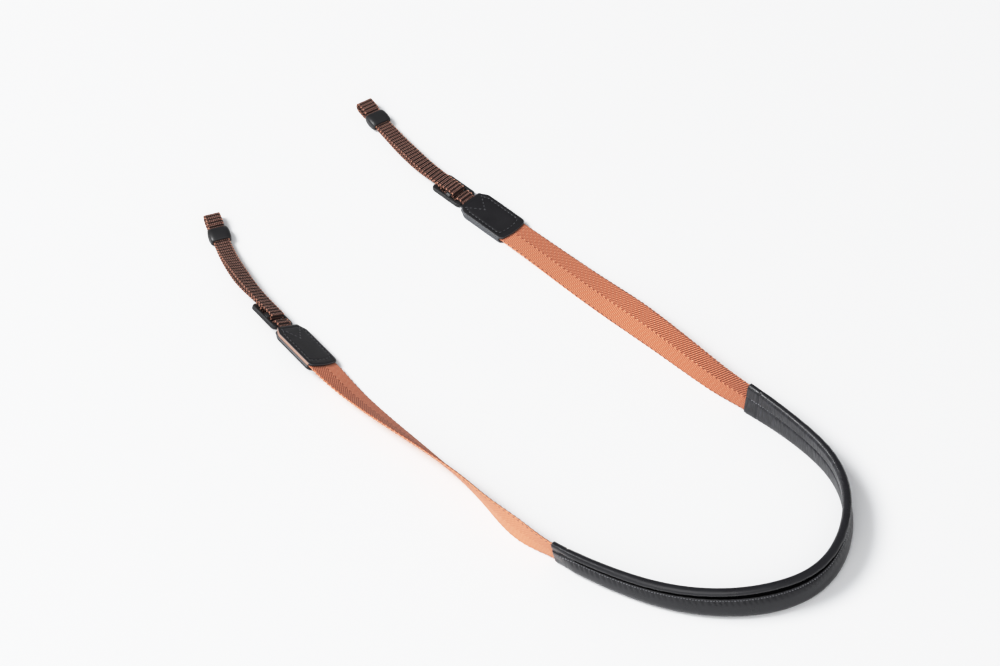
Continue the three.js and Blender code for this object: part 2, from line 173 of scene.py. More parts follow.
def walk():
    """The middle line of the strap, walked both ways from the middle of the pad."""
    steps = np.arange(math.ceil(STRAP_END)) + 0.5
    start = np.array([*PAD_MIDDLE, height(np.array(0.0))])
    right = start + np.cumsum(direction(steps), 0)
    left = start - np.cumsum(direction(-steps), 0)
    return np.vstack([left[::-1], start, right])


MIDDLE_LINE = walk()
WALKED = np.arange(len(MIDDLE_LINE)) - len(MIDDLE_LINE) // 2
print("middle line of", len(MIDDLE_LINE), "points")

# %% [markdown]
# Three axes go with each place on the strap: ahead along it, across it to the edge on the inside of the bend,
# and out of the face on the inside of the bend. `on_strap` uses them to bend anything that is modelled flat.


# %% Lay flat work on the table
def strap_axes(along):
    point = np.stack([np.interp(along, WALKED, MIDDLE_LINE[:, k]) for k in range(3)], -1)
    ahead = direction(along)
    heading, roll = np.radians(smooth(HEADING, along)), np.radians(smooth(ROLL, along))
    inward = np.stack([-np.sin(heading), np.cos(heading), np.zeros_like(heading)], -1)
    up = np.cross(ahead, inward)
    cos, sin = np.cos(roll)[..., None], np.sin(roll)[..., None]
    return point, inward * cos - up * sin, up * cos + inward * sin


def on_strap(along, across, face):
    """Points in metres from flat places in millimetres."""
    along, across, face = np.broadcast_arrays(along, across, face)
    point, sideways, out = strap_axes(along.astype(float))
    return (point + sideways * across[..., None] + out * face[..., None]) * MM


def on_end(way, out, across, face):
    """The same for a piece drawn outwards from the tab's outer end, on the left or the right half."""
    return on_strap(way * (TAB_END + np.asarray(out)), way * np.asarray(across), face)


print("pad middle at", np.round(on_strap(0.0, 0.0, 0.0), 4))

# %% [markdown]
# ## Helpers for meshes
#
# Nearly every piece is a closed skin: rows of points joined by quads. A few functions are enough. One joins a
# grid of points, one closes its ends, and one turns the result into an object that rides on the strap's body.


# %% Mesh helpers
def grid_faces(rows, columns, wrap_rows=False):
    """Quads over a grid of points counted row by row, closed round each row."""
    r = np.arange(rows if wrap_rows else rows - 1)[:, None]
    c = np.arange(columns)[None, :]
    r2, c2 = (r + 1) % rows, (c + 1) % columns
    corners = [r * columns + c, r * columns + c2, r2 * columns + c2, r2 * columns + c]
    return np.stack(np.broadcast_arrays(*corners), -1).reshape(-1, 4).tolist()


def end_caps(rows, columns):
    """One face that closes the first row of a grid, and one that closes the last."""
    return [list(range(columns)), list(range((rows - 1) * columns, rows * columns))]


def set_vectors(mesh, name, values):
    """Gives each point of a mesh a named vector."""
    data = mesh.attributes.new(name, "FLOAT_VECTOR", "POINT").data
    data.foreach_set("vector", np.asarray(values, np.float32).ravel())


def ride_on_strap(name, mesh):
    piece = new_object(name, mesh)
    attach(piece, "root")
    print(name, sum(len(p.vertices) - 2 for p in mesh.polygons), "triangles")
    return piece


def make_piece(name, node, points, faces, materials, face_materials=None, attributes=None):
    """A closed mesh with its faces turned outwards, riding on the strap in place of a node of the frame."""
    mesh = bpy.data.meshes.new(name)
    mesh.from_pydata(np.asarray(points).reshape(-1, 3).tolist(), [], faces)
    for attribute, values in (attributes or {}).items():
        set_vectors(mesh, attribute, values)
    for material in materials:
        mesh.materials.append(material)
    if face_materials is not None:
        mesh.polygons.foreach_set("material_index", face_materials)
    shell = bmesh.new()
    shell.from_mesh(mesh)
    bmesh.ops.recalc_face_normals(shell, faces=shell.faces)
    shell.to_mesh(mesh)
    shell.free()
    mesh.shade_smooth()
    piece = ride_on_strap(name, mesh)
    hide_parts(node)
    return piece


def through(rows, samples, closed=True):
    """A smooth line through the rows of a table, with the same number of points between each two."""
    rows = np.asarray(rows, float)
    count = len(rows)
    index = np.arange(count if closed else count - 1)
    wrap = (lambda i: i % count) if closed else (lambda i: np.clip(i, 0, count - 1))
    p0, p1, p2, p3 = (rows[wrap(index + k)][:, None, :] for k in (-1, 0, 1, 2))
    t = (np.arange(samples) / samples)[None, :, None]
    pull = 0.4
    line = between(t, p1, p2, pull * (p2 - p0), pull * (p3 - p1)).reshape(-1, rows.shape[1])
    return line if closed else np.vstack([line, rows[-1:]])


def ease(x, start, end):
    """Rises smoothly from 0 at the start to 1 at the end."""
    t = np.clip((x - start) / (end - start), 0, 1)
    return t * t * (3 - 2 * t)


def hump(x, middle, width):
    return np.exp(-((x - middle) / width) ** 2)


def wave(x, pitch):
    return np.cos(2 * np.pi * x / pitch)


def uneven(x, pitch, seed):
    """A wave of about this pitch whose spacing and strength wander, from -1 to 1."""
    wander = np.sin(x / (pitch * 0.9) + 1.3 * seed) + np.sin(x / (pitch * 2.3) + 2.1 * seed)
    strength = 0.65 + 0.35 * np.sin(x / (pitch * 1.7) + 0.7 * seed)
    return strength * np.sin(2 * np.pi * x / pitch + 1.2 * wander)


# %% [markdown]
# ## Materials
#
# Each finish starts from what the real stuff is. Colours are written as sRGB hex, as a dye chart would give
# them, and one function turns them to the linear values that the renderer mixes. One small function adds a
# node with its settings and links. Most finishes are dyed in two shades that a noise mottles, with patches of
# a size given in millimetres.


# %% Material helpers
MIX_FACTOR, MIX_A, MIX_B = 0, 6, 7
NOISE_RANGE = {"From Min": 0.3, "From Max": 0.7}


def linear(hex_colour):
    channels = [int(hex_colour[i:i + 2], 16) / 255 for i in (1, 3, 5)]
    return [c / 12.92 if c <= 0.04045 else ((c + 0.055) / 1.055) ** 2.4 for c in channels] + [1.0]


def feed(tree, node, inputs):
    """Gives a node its inputs. Each is a value, an output to link, or a node, whose first output is linked."""
    for name, value in inputs.items():
        if isinstance(value, bpy.types.Node):
            value = next(output for output in value.outputs if output.enabled)
        if isinstance(value, bpy.types.NodeSocket):
            tree.links.new(value, node.inputs[name])
        else:
            node.inputs[name].default_value = value


def add(tree, kind, inputs=None, **settings):
    """Adds one node with its settings and inputs."""
    node = tree.nodes.new(kind)
    for name, value in settings.items():
        setattr(node, name, value)
    feed(tree, node, inputs or {})
    return node


def new_material(name, constants):
    material = bpy.data.materials.new(name)
    material.use_nodes = True
    tree = material.node_tree
    shader = tree.nodes["Principled BSDF"]
    feed(tree, shader, constants)
    return material, tree, shader


def dye(tree, shader, dark, pale, patch, detail, roughness=0.5):
    """Colours a shader in two shades. Gives the place on the piece, and the noise that mottles it."""
    place = add(tree, "ShaderNodeTexCoord").outputs["Object"]
    size = {"Scale": 1 / (patch * MM), "Detail": detail, "Roughness": roughness}
    mottle = add(tree, "ShaderNodeTexNoise", {"Vector": place, **size})
    shades = {MIX_FACTOR: mottle, MIX_A: linear(dark), MIX_B: linear(pale)}
    tint = add(tree, "ShaderNodeMix", shades, data_type="RGBA")
    feed(tree, shader, {"Base Color": tint})
    return place, mottle


# %% [markdown]
# **Black leather** is drum-dyed and lightly finished: nearly black, with a soft sheen, a fine pebble grain and
# a slight mottle where the finish is thinner. The grain is a Voronoi bump whose cells are half a millimetre.
# The band's leather also has fine wrinkles across its inner face, where the bend squeezes it, and there it is
# a little duller. Its colour there is painted paler on the wrinkles' ridges, a painted highlight, with the
# hollows left darker as painted shade. The wrinkles follow the flat coordinates that the band's mesh carries,
# stretched so that each is long across and short along.

# %% Black leather
GRAIN_WIDTH, GRAIN_DEPTH = 0.55 * MM, 0.12 * MM
WRINKLE_LENGTH, WRINKLE_WIDTH, WRINKLE_DEPTH = 7.0, 1.1, 0.45 * MM
INNER_DULLNESS = 0.09


def black_leather(name, dark, pale, roughness, ior=1.5):
    material, tree, shader = new_material(name, {"Roughness": roughness, "IOR": ior})
    place, mottle = dye(tree, shader, dark, pale, patch=14.3, detail=5)
    pebble = add(tree, "ShaderNodeTexVoronoi", {"Vector": place, "Scale": 1 / GRAIN_WIDTH})
    crease = add(tree, "ShaderNodeTexNoise", {"Vector": place, "Scale": 0.4 / GRAIN_WIDTH, "Detail": 3})
    both = add(tree, "ShaderNodeMath", {0: pebble, 1: crease}, operation="ADD")
    bump = add(tree, "ShaderNodeBump", {"Strength": 0.3, "Distance": GRAIN_DEPTH, "Height": both})
    finish = add(tree, "ShaderNodeMapRange", {
        "Value": mottle, **NOISE_RANGE, "To Min": roughness - 0.07, "To Max": roughness + 0.09,
    })
    feed(tree, shader, {"Normal": bump, "Roughness": finish})
    return material


def add_wrinkles(material, ridge_highlight):
    tree = material.node_tree
    shader = tree.nodes["Principled BSDF"]
    given = ("Base Color", "Roughness", "Normal")
    dyed, finish, grain = (shader.inputs[name].links[0].from_socket for name in given)
    flat = add(tree, "ShaderNodeAttribute", attribute_name="flat").outputs["Vector"]
    inner = add(tree, "ShaderNodeSeparateXYZ", {"Vector": flat}).outputs["Z"]
    stretch = (1 / WRINKLE_WIDTH, 1 / WRINKLE_LENGTH, 0)
    stretched = add(tree, "ShaderNodeVectorMath", {0: flat, 1: stretch}, operation="MULTIPLY")
    folds = add(tree, "ShaderNodeTexNoise", {"Vector": stretched, "Scale": 1, "Detail": 2})
    strength = add(tree, "ShaderNodeMapRange", {"Value": inner, "To Min": 0.12, "To Max": 0.75})
    bump = add(tree, "ShaderNodeBump", {
        "Strength": strength, "Distance": WRINKLE_DEPTH, "Height": folds, "Normal": grain,
    })
    # Painted light: the wrinkles' ridges get a paler colour as a painted highlight, and the hollows stay
    # darker as painted shade.
    ridges = add(tree, "ShaderNodeMapRange", {
        "Value": folds, "From Min": 0.45, "From Max": 0.7, "To Min": 0.0, "To Max": 0.8,
    })
    shown = add(tree, "ShaderNodeMath", {0: ridges, 1: inner}, operation="MULTIPLY")
    shades = {MIX_FACTOR: shown, MIX_A: dyed, MIX_B: linear(ridge_highlight)}
    ridges_lit = add(tree, "ShaderNodeMix", shades, data_type="RGBA")
    dulled = add(tree, "ShaderNodeMath", {0: inner, 1: INNER_DULLNESS, 2: finish}, operation="MULTIPLY_ADD")
    feed(tree, shader, {"Base Color": ridges_lit, "Roughness": dulled, "Normal": bump})


PAD_LEATHER = black_leather("black drum-dyed leather", "#141418", "#1d1d22", 0.3)
# The paler colour given here is the painted highlight on the ridges of the wrinkles.
add_wrinkles(PAD_LEATHER, "#33343a")
TAB_LEATHER = black_leather("black smooth leather", "#0e0d11", "#161519", 0.42)
# A matt near-black leather that hardly reflects, laid in the band's groove as painted shade.
GROOVE_SHADE = black_leather("matt black leather as groove shade", "#030304", "#060607", 0.9, 1.12)
print("leather ready")

# %% [markdown]
# ** Cut edges** of the leather show its middle. One side is sealed with a grey paint, and the other shows
# the tan of the hide itself with a thin line of paint. The same grey on the top plates' bevel round the wide
# end is a painted highlight along the rounded edge.


# %% Leather edges
def leather_edge(name, low, high, roughness):
    material, tree, shader = new_material(name, {"Roughness": roughness, "IOR": 1.45})
    _, fibre = dye(tree, shader, low, high, patch=1.11, detail=4, roughness=0.7)
    bump = add(tree, "ShaderNodeBump", {"Strength": 0.4, "Distance": 0.15 * MM, "Height": fibre})
    feed(tree, shader, {"Normal": bump})
    return material


GREY_EDGE_AND_HIGHLIGHT = leather_edge("grey edge paint", "#434548", "#5a5c60", 0.45)
RAW_EDGE = leather_edge("raw leather edge", "#8f7064", "#a98b7f", 0.8)
print("edges ready")

# %% [markdown]
# **Woven tape** is dyed polyester: matte, with a soft sheen at a glancing angle because light catches the
# fibres. The weave itself is in the mesh, and each point carries its flat place and how proud its yarn stands.
# So the hollows between the yarns can be darker, as they are where less light gets in. On top of each yarn
# the light catches a grid of fine dots, one where each thread crosses another.


# %% Woven tape
def ripple(tree, value, pitch):
    """A wave from -1 to 1 along a value in millimetres."""
    turns = add(tree, "ShaderNodeMath", {0: value, 1: 2 * math.pi / pitch}, operation="MULTIPLY")
    return add(tree, "ShaderNodeMath", {0: turns}, operation="COSINE")


def woven_tape(name, hollow, yarn, bright, thread_pitch, dots):
    material, tree, shader = new_material(name, {"Roughness": 0.9, "IOR": 1.3, "Sheen Weight": 0.05})
    weave = add(tree, "ShaderNodeAttribute", attribute_name="weave")
    parts = add(tree, "ShaderNodeSeparateXYZ", {"Vector": weave.outputs["Vector"]}).outputs
    along_dots, across_dots = (ripple(tree, parts[k], pitch) for k, pitch in zip("XY", thread_pitch))
    crossing = add(tree, "ShaderNodeMath", {0: along_dots, 1: across_dots}, operation="ADD")
    gaps = add(tree, "ShaderNodeMapRange", {
        "Value": crossing, "From Min": -1.2, "From Max": 1.2, "To Min": 1 - dots, "To Max": 1.0,
    })
    proud = add(tree, "ShaderNodeMath", {0: gaps, 1: parts["Z"]}, operation="MULTIPLY")
    tint = add(tree, "ShaderNodeValToRGB", {"Fac": proud})
    stops = tint.color_ramp.elements
    stops[0].color, stops[1].color = linear(hollow), linear(bright)
    stops.new(0.55).color = linear(yarn)
    bump = add(tree, "ShaderNodeBump", {"Strength": 0.3, "Distance": 0.08 * MM, "Height": crossing})
    feed(tree, shader, {"Base Color": tint, "Normal": bump})
    return material


COPPER_TAPE = woven_tape("copper herringbone tape", "#3a1409", "#b67258", "#dda58b", (1.1, 1.0), 0.35)
BROWN_TAPE = woven_tape("brown ribbed tape", "#080403", "#3d2620", "#523630", (0.6, 0.8), 0.3)
print("tapes ready")

# %% [markdown]
# ** Yarn and thread** are the same fibre in single strands: a plain dyed colour with a sheen, a little darker
# or paler from strand to strand. Both threads are black. The band's is coloured a paler grey, a painted
# highlight on its stitches, so the tabs' thread is darker than the band's.


# %% Yarn and thread
def yarn(name, dark, pale, roughness):
    material, tree, shader = new_material(name, {"Roughness": roughness, "IOR": 1.5, "Sheen Weight": 0.2})
    dye(tree, shader, dark, pale, patch=1.43, detail=2)
    return material


COPPER_YARN = yarn("copper yarn", "#a86f58", "#cf9a82", 0.7)
ROSE_YARN = yarn("pale copper yarn", "#9f7b6d", "#cda898", 0.7)
UMBER_YARN = yarn("umber selvedge yarn", "#4a2a20", "#6b4030", 0.75)
# Painted highlight: the band's black thread is coloured a paler grey for the light that its stitches catch.
BAND_THREAD_LIT = yarn("black thread painted with highlight", "#5f6065", "#8b8c91", 0.42)
TAB_THREAD = yarn("black thread of the tabs", "#2f3034", "#4d4e53", 0.45)
print("yarns ready")

# %% [markdown]
# **Moulded plastic** is acetal with a fine spark-eroded mould finish: black, satin, with a slight unevenness
# that breaks up its reflections.

# %% Moulded plastic
SPARK_PIT, HANDLED_PATCH = 0.385 * MM, 5.55 * MM


def moulded_acetal(name, colour):
    material, tree, shader = new_material(name, {"Base Color": linear(colour), "IOR": 1.48})
    place = add(tree, "ShaderNodeTexCoord").outputs["Object"]
    spark = add(tree, "ShaderNodeTexNoise", {"Vector": place, "Scale": 1 / SPARK_PIT, "Detail": 3})
    bump = add(tree, "ShaderNodeBump", {"Strength": 0.25, "Distance": 0.05 * MM, "Height": spark})
    handled = add(tree, "ShaderNodeTexNoise", {"Vector": place, "Scale": 1 / HANDLED_PATCH, "Detail": 4})
    satin = add(tree, "ShaderNodeMapRange", {"Value": handled, **NOISE_RANGE, "To Min": 0.34, "To Max": 0.5})
    feed(tree, shader, {"Normal": bump, "Roughness": satin})
    return material


MOULDED = moulded_acetal("moulded black acetal", "#1c1c1e")
print("plastic ready")

# %% [markdown]
# ## One tree for everything that is sewn or woven in rows
#
# Stitches, selvedge yarns and the dots of a ribbed tape are the same thing to a maker: a short length of yarn
# that shows again and again along a line. So one Geometry Nodes tree makes them all. It takes lines that carry
# the direction of the surface, puts a point on them at each pitch, and sets a small lens of yarn there, turned
# along the line and out of the surface. Every copy is then made real, because instances don't export.

# %% Yarns along lines
YARN_SEED, SMALLEST_YARN, LARGEST_YARN = 7, (0.88, 0.85, 0.85), (1.08, 1.12, 1.15)


def yarn_tree():
    tree = bpy.data.node_groups.new("yarns along lines", "GeometryNodeTree")
    tree.interface.new_socket("Lines", in_out="INPUT", socket_type="NodeSocketGeometry")
    for name in ("Pitch", "Length", "Width", "Height"):
        tree.interface.new_socket(name, in_out="INPUT", socket_type="NodeSocketFloat")
    tree.interface.new_socket("Yarn", in_out="INPUT", socket_type="NodeSocketMaterial")
    tree.interface.new_socket("Yarns", in_out="OUTPUT", socket_type="NodeSocketGeometry")
    given = add(tree, "NodeGroupInput").outputs
    curve = add(tree, "GeometryNodeMeshToCurve", {"Mesh": given["Lines"]})
    points = add(tree, "GeometryNodeCurveToPoints", {"Curve": curve, "Length": given["Pitch"]}, mode="LENGTH")
    surface = add(tree, "GeometryNodeInputNamedAttribute", {"Name": "surface"}, data_type="FLOAT_VECTOR")
    along = add(tree, "FunctionNodeAlignRotationToVector", {"Vector": points.outputs["Tangent"]}, axis="X")
    turned = add(tree, "FunctionNodeAlignRotationToVector", {"Rotation": along, "Vector": surface},
                 axis="Z", pivot_axis="X")
    lens = add(tree, "GeometryNodeMeshUVSphere", {"Segments": 6, "Rings": 4, "Radius": 0.5})
    size = add(tree, "ShaderNodeCombineXYZ", {"X": given["Length"], "Y": given["Width"], "Z": given["Height"]})
    strand = add(tree, "GeometryNodeTransform", {"Geometry": lens, "Scale": size})
    vary = add(tree, "FunctionNodeRandomValue", {
        "Min": SMALLEST_YARN, "Max": LARGEST_YARN, "Seed": YARN_SEED,
    }, data_type="FLOAT_VECTOR")
    placed = add(tree, "GeometryNodeInstanceOnPoints", {
        "Points": points, "Instance": strand, "Rotation": turned, "Scale": vary,
    })
    real = add(tree, "GeometryNodeRealizeInstances", {"Geometry": placed})
    soft = add(tree, "GeometryNodeSetShadeSmooth", {"Geometry": real})
    dyed = add(tree, "GeometryNodeSetMaterial", {"Geometry": soft, "Material": given["Yarn"]})
    add(tree, "NodeGroupOutput", {"Yarns": dyed})
    return tree


YARNS_ALONG_LINES = yarn_tree()


def sew(name, lines, material, pitch, length, width, depth):
    """Yarns along lines, with sizes in millimetres. A line is its points and the surface's directions."""
    starts = np.cumsum([0] + [len(line) for line, _ in lines])
    edges = [(i, i + 1) for k in range(len(lines)) for i in range(starts[k], starts[k + 1] - 1)]
    mesh = bpy.data.meshes.new(name)
    mesh.from_pydata(np.vstack([line for line, _ in lines]).tolist(), edges, [])
    set_vectors(mesh, "surface", np.vstack([up for _, up in lines]))
    guide = new_object(name + "_guide", mesh)
    modifier = guide.modifiers.new("yarns", "NODES")
    modifier.node_group = YARNS_ALONG_LINES
    inputs = {"Pitch": pitch * MM, "Length": length * MM, "Width": width * MM, "Height": depth * MM}
    inputs["Yarn"] = material
    for socket in YARNS_ALONG_LINES.interface.items_tree:
        if socket.in_out == "INPUT" and socket.name in inputs:
            modifier[socket.identifier] = inputs[socket.name]
    seen = guide.evaluated_get(bpy.context.evaluated_depsgraph_get())
    yarns = bpy.data.meshes.new_from_object(seen)
    guide.modifiers.remove(modifier)
    bpy.data.objects.remove(guide)
    return ride_on_strap(name, yarns)


# %% [markdown]
# ## The wide tape
#
# The tape is a herringbone twill: slanting ridges of yarn that meet in a line of chevrons down the middle,
# with longer floats that lie steeper across them. It could be a flat strip with a bump map, but the ridges
# catch the light at the tape's edge, so they are raised in the mesh, with four or five points to each. The
# half on the outside of the bend has a deeper relief and more ridges to its floats than the other half. The
# relief is deepest near the pad, and as the hollows' darker colour follows it, the tape is painted darker
# there: painted shade.

# %% Wide tape
WIDE_WIDTH, WIDE_THICK, IN_PAD, IN_TAB = 20, 1.5, 11, 19
WIDE_EDGE, WIDE_ROUNDING, WIDE_COLUMNS, POINTS_TO_A_RIDGE = 0.8, 0.94, 73, 4.5
RIDGE_PITCH, RIDGE_SLANT, RIDGE_HEIGHT, RIDGE_SHARPNESS = 1.68, 0.92, 0.16, 1.1
FLOAT_PITCH, FLOAT_SLANT = 2 * RIDGE_PITCH, 2.95
OUTER_RIDGES, INNER_RIDGES = 0.55, 0.3
OUTER_RELIEF, INNER_RELIEF, REAR_RELIEF = 1.0, 0.7, 0.3
RELIEF_AT_PAD, RELIEF_AT_TAB = 1.18, 0.85
CHEVRONS, CHEVRONS_AT, CHEVRONS_WIDTH = 0.85, 0.2, 0.3
SELVEDGE_PITCH, SELVEDGE_INSET, SELVEDGE_SUNK, SCALLOP = 3.6, 0.45, 0.2, 0.12


def herringbone(along, across):
    """How proud the yarn stands, from about 0 in a hollow to 1 on a ridge. The chevrons point to the tab."""
    from_middle, from_pad = np.abs(across), np.abs(along)
    ridge = 0.5 + 0.5 * wave(from_pad + RIDGE_SLANT * from_middle, RIDGE_PITCH)
    floating = 0.5 + 0.5 * wave(from_pad + FLOAT_SLANT * from_middle, FLOAT_PITCH)
    share = np.where(across < 0, OUTER_RIDGES, INNER_RIDGES)
    hollow = 1 - (share * ridge + (1 - share) * floating) ** RIDGE_SHARPNESS
    # Deeper relief near the pad also darkens the colour, which follows the hollows: painted shade towards the
    # pad.
    relief = np.interp(from_pad, (PAD_END, TAB_START), (RELIEF_AT_PAD, RELIEF_AT_TAB))
    proud = 1 - hollow * relief * np.where(across < 0, OUTER_RELIEF, INNER_RELIEF)
    spots = np.clip(0.5 + 0.9 * wave(along, SELVEDGE_PITCH), 0, 1)
    middle = CHEVRONS * hump(across, CHEVRONS_AT, CHEVRONS_WIDTH)
    return proud * (1 - middle) + middle * spots


def tape_grid(width, columns):
    """Places across the front of a tape and then back across its rear, with which face each is on."""
    across = np.linspace(-width / 2, width / 2, columns)
    return np.concatenate([across, across[::-1]]), np.repeat([1.0, -1.0], columns)


def tape_faces(rows, columns):
    """Quads round a tape, and a row of quads that closes each end."""
    faces = grid_faces(rows, 2 * columns)
    last = (rows - 1) * 2 * columns
    for i in range(columns - 1):
        ring = [i, i + 1, 2 * columns - 2 - i, 2 * columns - 1 - i]
        faces.append(ring)
        faces.append([last + k for k in reversed(ring)])
    return faces


def edge_share(across, width, strip):
    """0 over most of a tape, rising to 1 at its edges over a strip this wide."""
    return np.clip((np.abs(across) - width / 2 + strip) / strip, 0, 1)


def wide_tape(side, way):
    step = RIDGE_PITCH / POINTS_TO_A_RIDGE
    along = way * np.arange(PAD_END - IN_PAD, TAB_START + IN_TAB + step / 2, step)[:, None]
    across, face = tape_grid(WIDE_WIDTH, WIDE_COLUMNS)
    edge = edge_share(across, WIDE_WIDTH, WIDE_EDGE)
    roundness = np.sqrt(1 - WIDE_ROUNDING * edge ** 2)
    front = herringbone(along, across)
    proud = np.where(face > 0, front, 1 - REAR_RELIEF * (1 - front))
    half = (WIDE_THICK / 2 - RIDGE_HEIGHT * (1 - proud)) * roundness
    scallop = SCALLOP * wave(along, SELVEDGE_PITCH) * edge * np.sign(across)
    points = on_strap(along, across + scallop, face * half)
    weave = np.stack(np.broadcast_arrays(along, across, proud), -1)
    faces = tape_faces(len(along), WIDE_COLUMNS)
    return make_piece(f"wide_tape_{side}", f"wide_webbing_{side}", points, faces, [COPPER_TAPE],
                      attributes={"weave": weave})


def selvedge(side, way):
    """Dark yarns that show as dashes along both edges of both faces."""
    along = way * np.arange(PAD_END + 0.5, TAB_START - 0.5, 1.0)
    reach, lift = WIDE_WIDTH / 2 - SELVEDGE_INSET, WIDE_THICK / 2 - SELVEDGE_SUNK
    lines = []
    for across in (-reach, reach):
        for face in (-1, 1):
            up = strap_axes(along)[2] * face
            lines.append((on_strap(along, across, face * lift), up))
    return sew(f"selvedge_{side}", lines, UMBER_YARN,
               pitch=SELVEDGE_PITCH, length=1.9, width=0.85, depth=0.45)


for side, way in SIDES.items():
    tape, dashes = wide_tape(side, way), selvedge(side, way)

# %% [markdown]
# ## The padded band
#
# One wrap of leather goes round two foam cores. Its folded edge makes a full roll along the top. Under the
# roll lies the other edge of the wrap, a lip in a deep groove, held by a row of stitches that goes right
# through the band. A cloth simulation would blur the seams of so slim a band, so its section is drawn
# and swept along the strap. The puckers at the stitches are small waves in the mesh, and the fine wrinkles
# are a bump.

# %% Section of the band
# Columns: across, face where the band is padded, face in the flat sleeve at its ends
BAND = np.array([
    (-11.2, -0.2, -0.3),
    (-11.1, -1.4, -1.2),
    (-10.3, -2.5, -1.85),
    (-9.1, -3.05, -2.1),
    (-8.0, -2.65, -2.15),
    (-7.2, -1.7, -2.05),
    (-6.6, -0.4, -1.8),
    (-6.2, 0.7, -1.5),
    (-4.2, 0.7, -1.5),
    (-3.85, -0.3, -1.6),
    (-3.65, -1.35, -1.9),
    (-3.3, -1.65, -2.1),
    (-2.9, -1.5, -2.1),
    (-2.4, -1.15, -1.95),
    (-1.9, -1.5, -2.1),
    (-0.8, -2.1, -2.15),
    (1.4, -2.75, -2.15),
    (5.0, -3.35, -2.15),
    (7.6, -3.25, -2.15),
    (9.6, -2.35, -1.95),
    (10.8, -1.2, -1.2),
    (11.2, -0.2, -0.2),
    (10.9, 0.9, 1.0),
    (9.6, 1.7, 1.85),
    (7.2, 2.15, 2.1),
    (3.2, 2.3, 2.15),
    (0.0, 2.3, 2.15),
    (-1.6, 2.1, 2.1),
    (-2.4, 1.4, 1.95),
    (-3.2, 2.1, 2.1),
    (-5.0, 2.3, 2.15),
    (-7.4, 2.3, 2.15),
    (-9.2, 2.25, 2.1),
    (-10.0, 1.8, 1.75),
    (-10.8, 1.1, 1.0),
])
GROOVE_ROWS, GROOVE_POINT, SECTION_SAMPLES = (5, 10), 3, 3
SLEEVE_LENGTH, SLEEVE_STEP = 9, 7
POCKET_HALF_WIDTH, POCKET_HALF_HEIGHT, POCKET_DEPTH = 10.4, 1.0, 11.4
POCKET_WALL, POCKET_FADE, POCKET_LIP = 1.2, 3, 0.1
BAND_STEP, RIM, FIRST_ROW, RIM_WIDTH, RIM_HEIGHT = 0.5, 0.3, 0.7, 0.975, 0.88

# A point of the section is on the inner or outer face, or over the pocket, if its height is past these
INNER_FROM, INNER_FULL, OUTER_FROM, OVER_POCKET = 0.4, 1.6, -0.1, -1.4

# %% [markdown]
# The stitches gather the outer leather into creases, and these loosen towards the right of the bend. Three
# more small forms wander along the band: the pull of the seam on the inner face, the wavy lip, and dents in
# the roll.

# %% Puckers of the band
SEAM_PITCH = 1.68
PUCKER_PITCH = 2 * SEAM_PITCH
Form = namedtuple("Form", "height from_seam width pitch seed")
PULL = Form(0.12, 0.0, 3.5, PUCKER_PITCH, 5.0)
LIP = Form(0.1, -0.9, 0.8, 5.3, 4.0)
ROLL_DENT = Form(0.09, -6.2, 2.2, 9.0, 1.0)
GATHER, GATHER_AT, GATHER_WIDTH, GATHER_SLANT, PULL_SLANT = 0.6, 1.5, 1.4, -0.4, 0.3
LOOSENED, LOOSE_FROM, LOOSE_TO = 0.6, -75, -5
SLIMMED, SLIM_FROM, SLIM_TO, ROLL_EDGE = 0.16, 95, 140, -6.4
END_SEAM_INNER, END_SEAM_OUTER, END_SEAM_WIDTH, END_SEAM_FROM = 0.5, 0.1, 0.6, 0.8

# Where the seam lies across. For each face: its height where padded and in the sleeve, how proud a stitch is
STITCH_ACROSS, STITCH_OUTER, STITCH_INNER = -2.4, (-1.15, -1.95, 0.35), (1.4, 1.95, -0.05)


def dents(form, along, from_seam):
    strip = hump(from_seam, form.from_seam, form.width)
    return form.height * uneven(along, form.pitch, form.seed) * strip


def band_face(along, across, padded, sleeve):
    """Height of the leather, with the puckers that its stitches pull."""
    inset = PAD_END - np.abs(along)
    swell = ease(inset, SLEEVE_LENGTH, SLEEVE_LENGTH + SLEEVE_STEP)
    outer_swell = ease(inset, SLEEVE_LENGTH - SLEEVE_STEP, SLEEVE_LENGTH + SLEEVE_STEP)
    pocket_wall = -POCKET_WALL * (1 - ease(inset, POCKET_DEPTH, POCKET_DEPTH + POCKET_FADE))
    inner = (padded > INNER_FROM) & (sleeve > 0)
    covers_pocket = sleeve < OVER_POCKET
    outer = (padded < OUTER_FROM) | covers_pocket
    face = sleeve + (padded - sleeve) * np.where(outer, outer_swell, swell)
    face = np.where(covers_pocket, np.minimum(face, pocket_wall), face)
    slimmer_roll = 1 - SLIMMED * ease(np.abs(along), SLIM_FROM, SLIM_TO) * (across < ROLL_EDGE)
    face = np.where(outer, face * slimmer_roll, face)
    from_seam = across - STITCH_ACROSS
    tight = 1 - LOOSENED * ease(along, LOOSE_FROM, LOOSE_TO)
    wander = 0.7 * np.sin(along / 8.0) + 0.5 * np.sin(along / 3.1)
    slanted = along + GATHER_SLANT * across
    crease = (0.5 + 0.5 * np.cos(2 * np.pi * slanted / PUCKER_PITCH + wander)) ** 2
    gather = GATHER * crease * hump(from_seam, GATHER_AT, GATHER_WIDTH) * outer * tight
    pull = dents(PULL, along + PULL_SLANT * across, from_seam) * inner
    lip_and_roll = (dents(LIP, along, from_seam) + dents(ROLL_DENT, along, from_seam)) * outer
    seam_depth = np.where(inner, END_SEAM_INNER, END_SEAM_OUTER) * (np.abs(face) > END_SEAM_FROM)
    seam = -seam_depth * hump(inset, SLEEVE_LENGTH, END_SEAM_WIDTH) * np.sign(face)
    return face + (gather + pull + lip_and_roll) * swell + seam


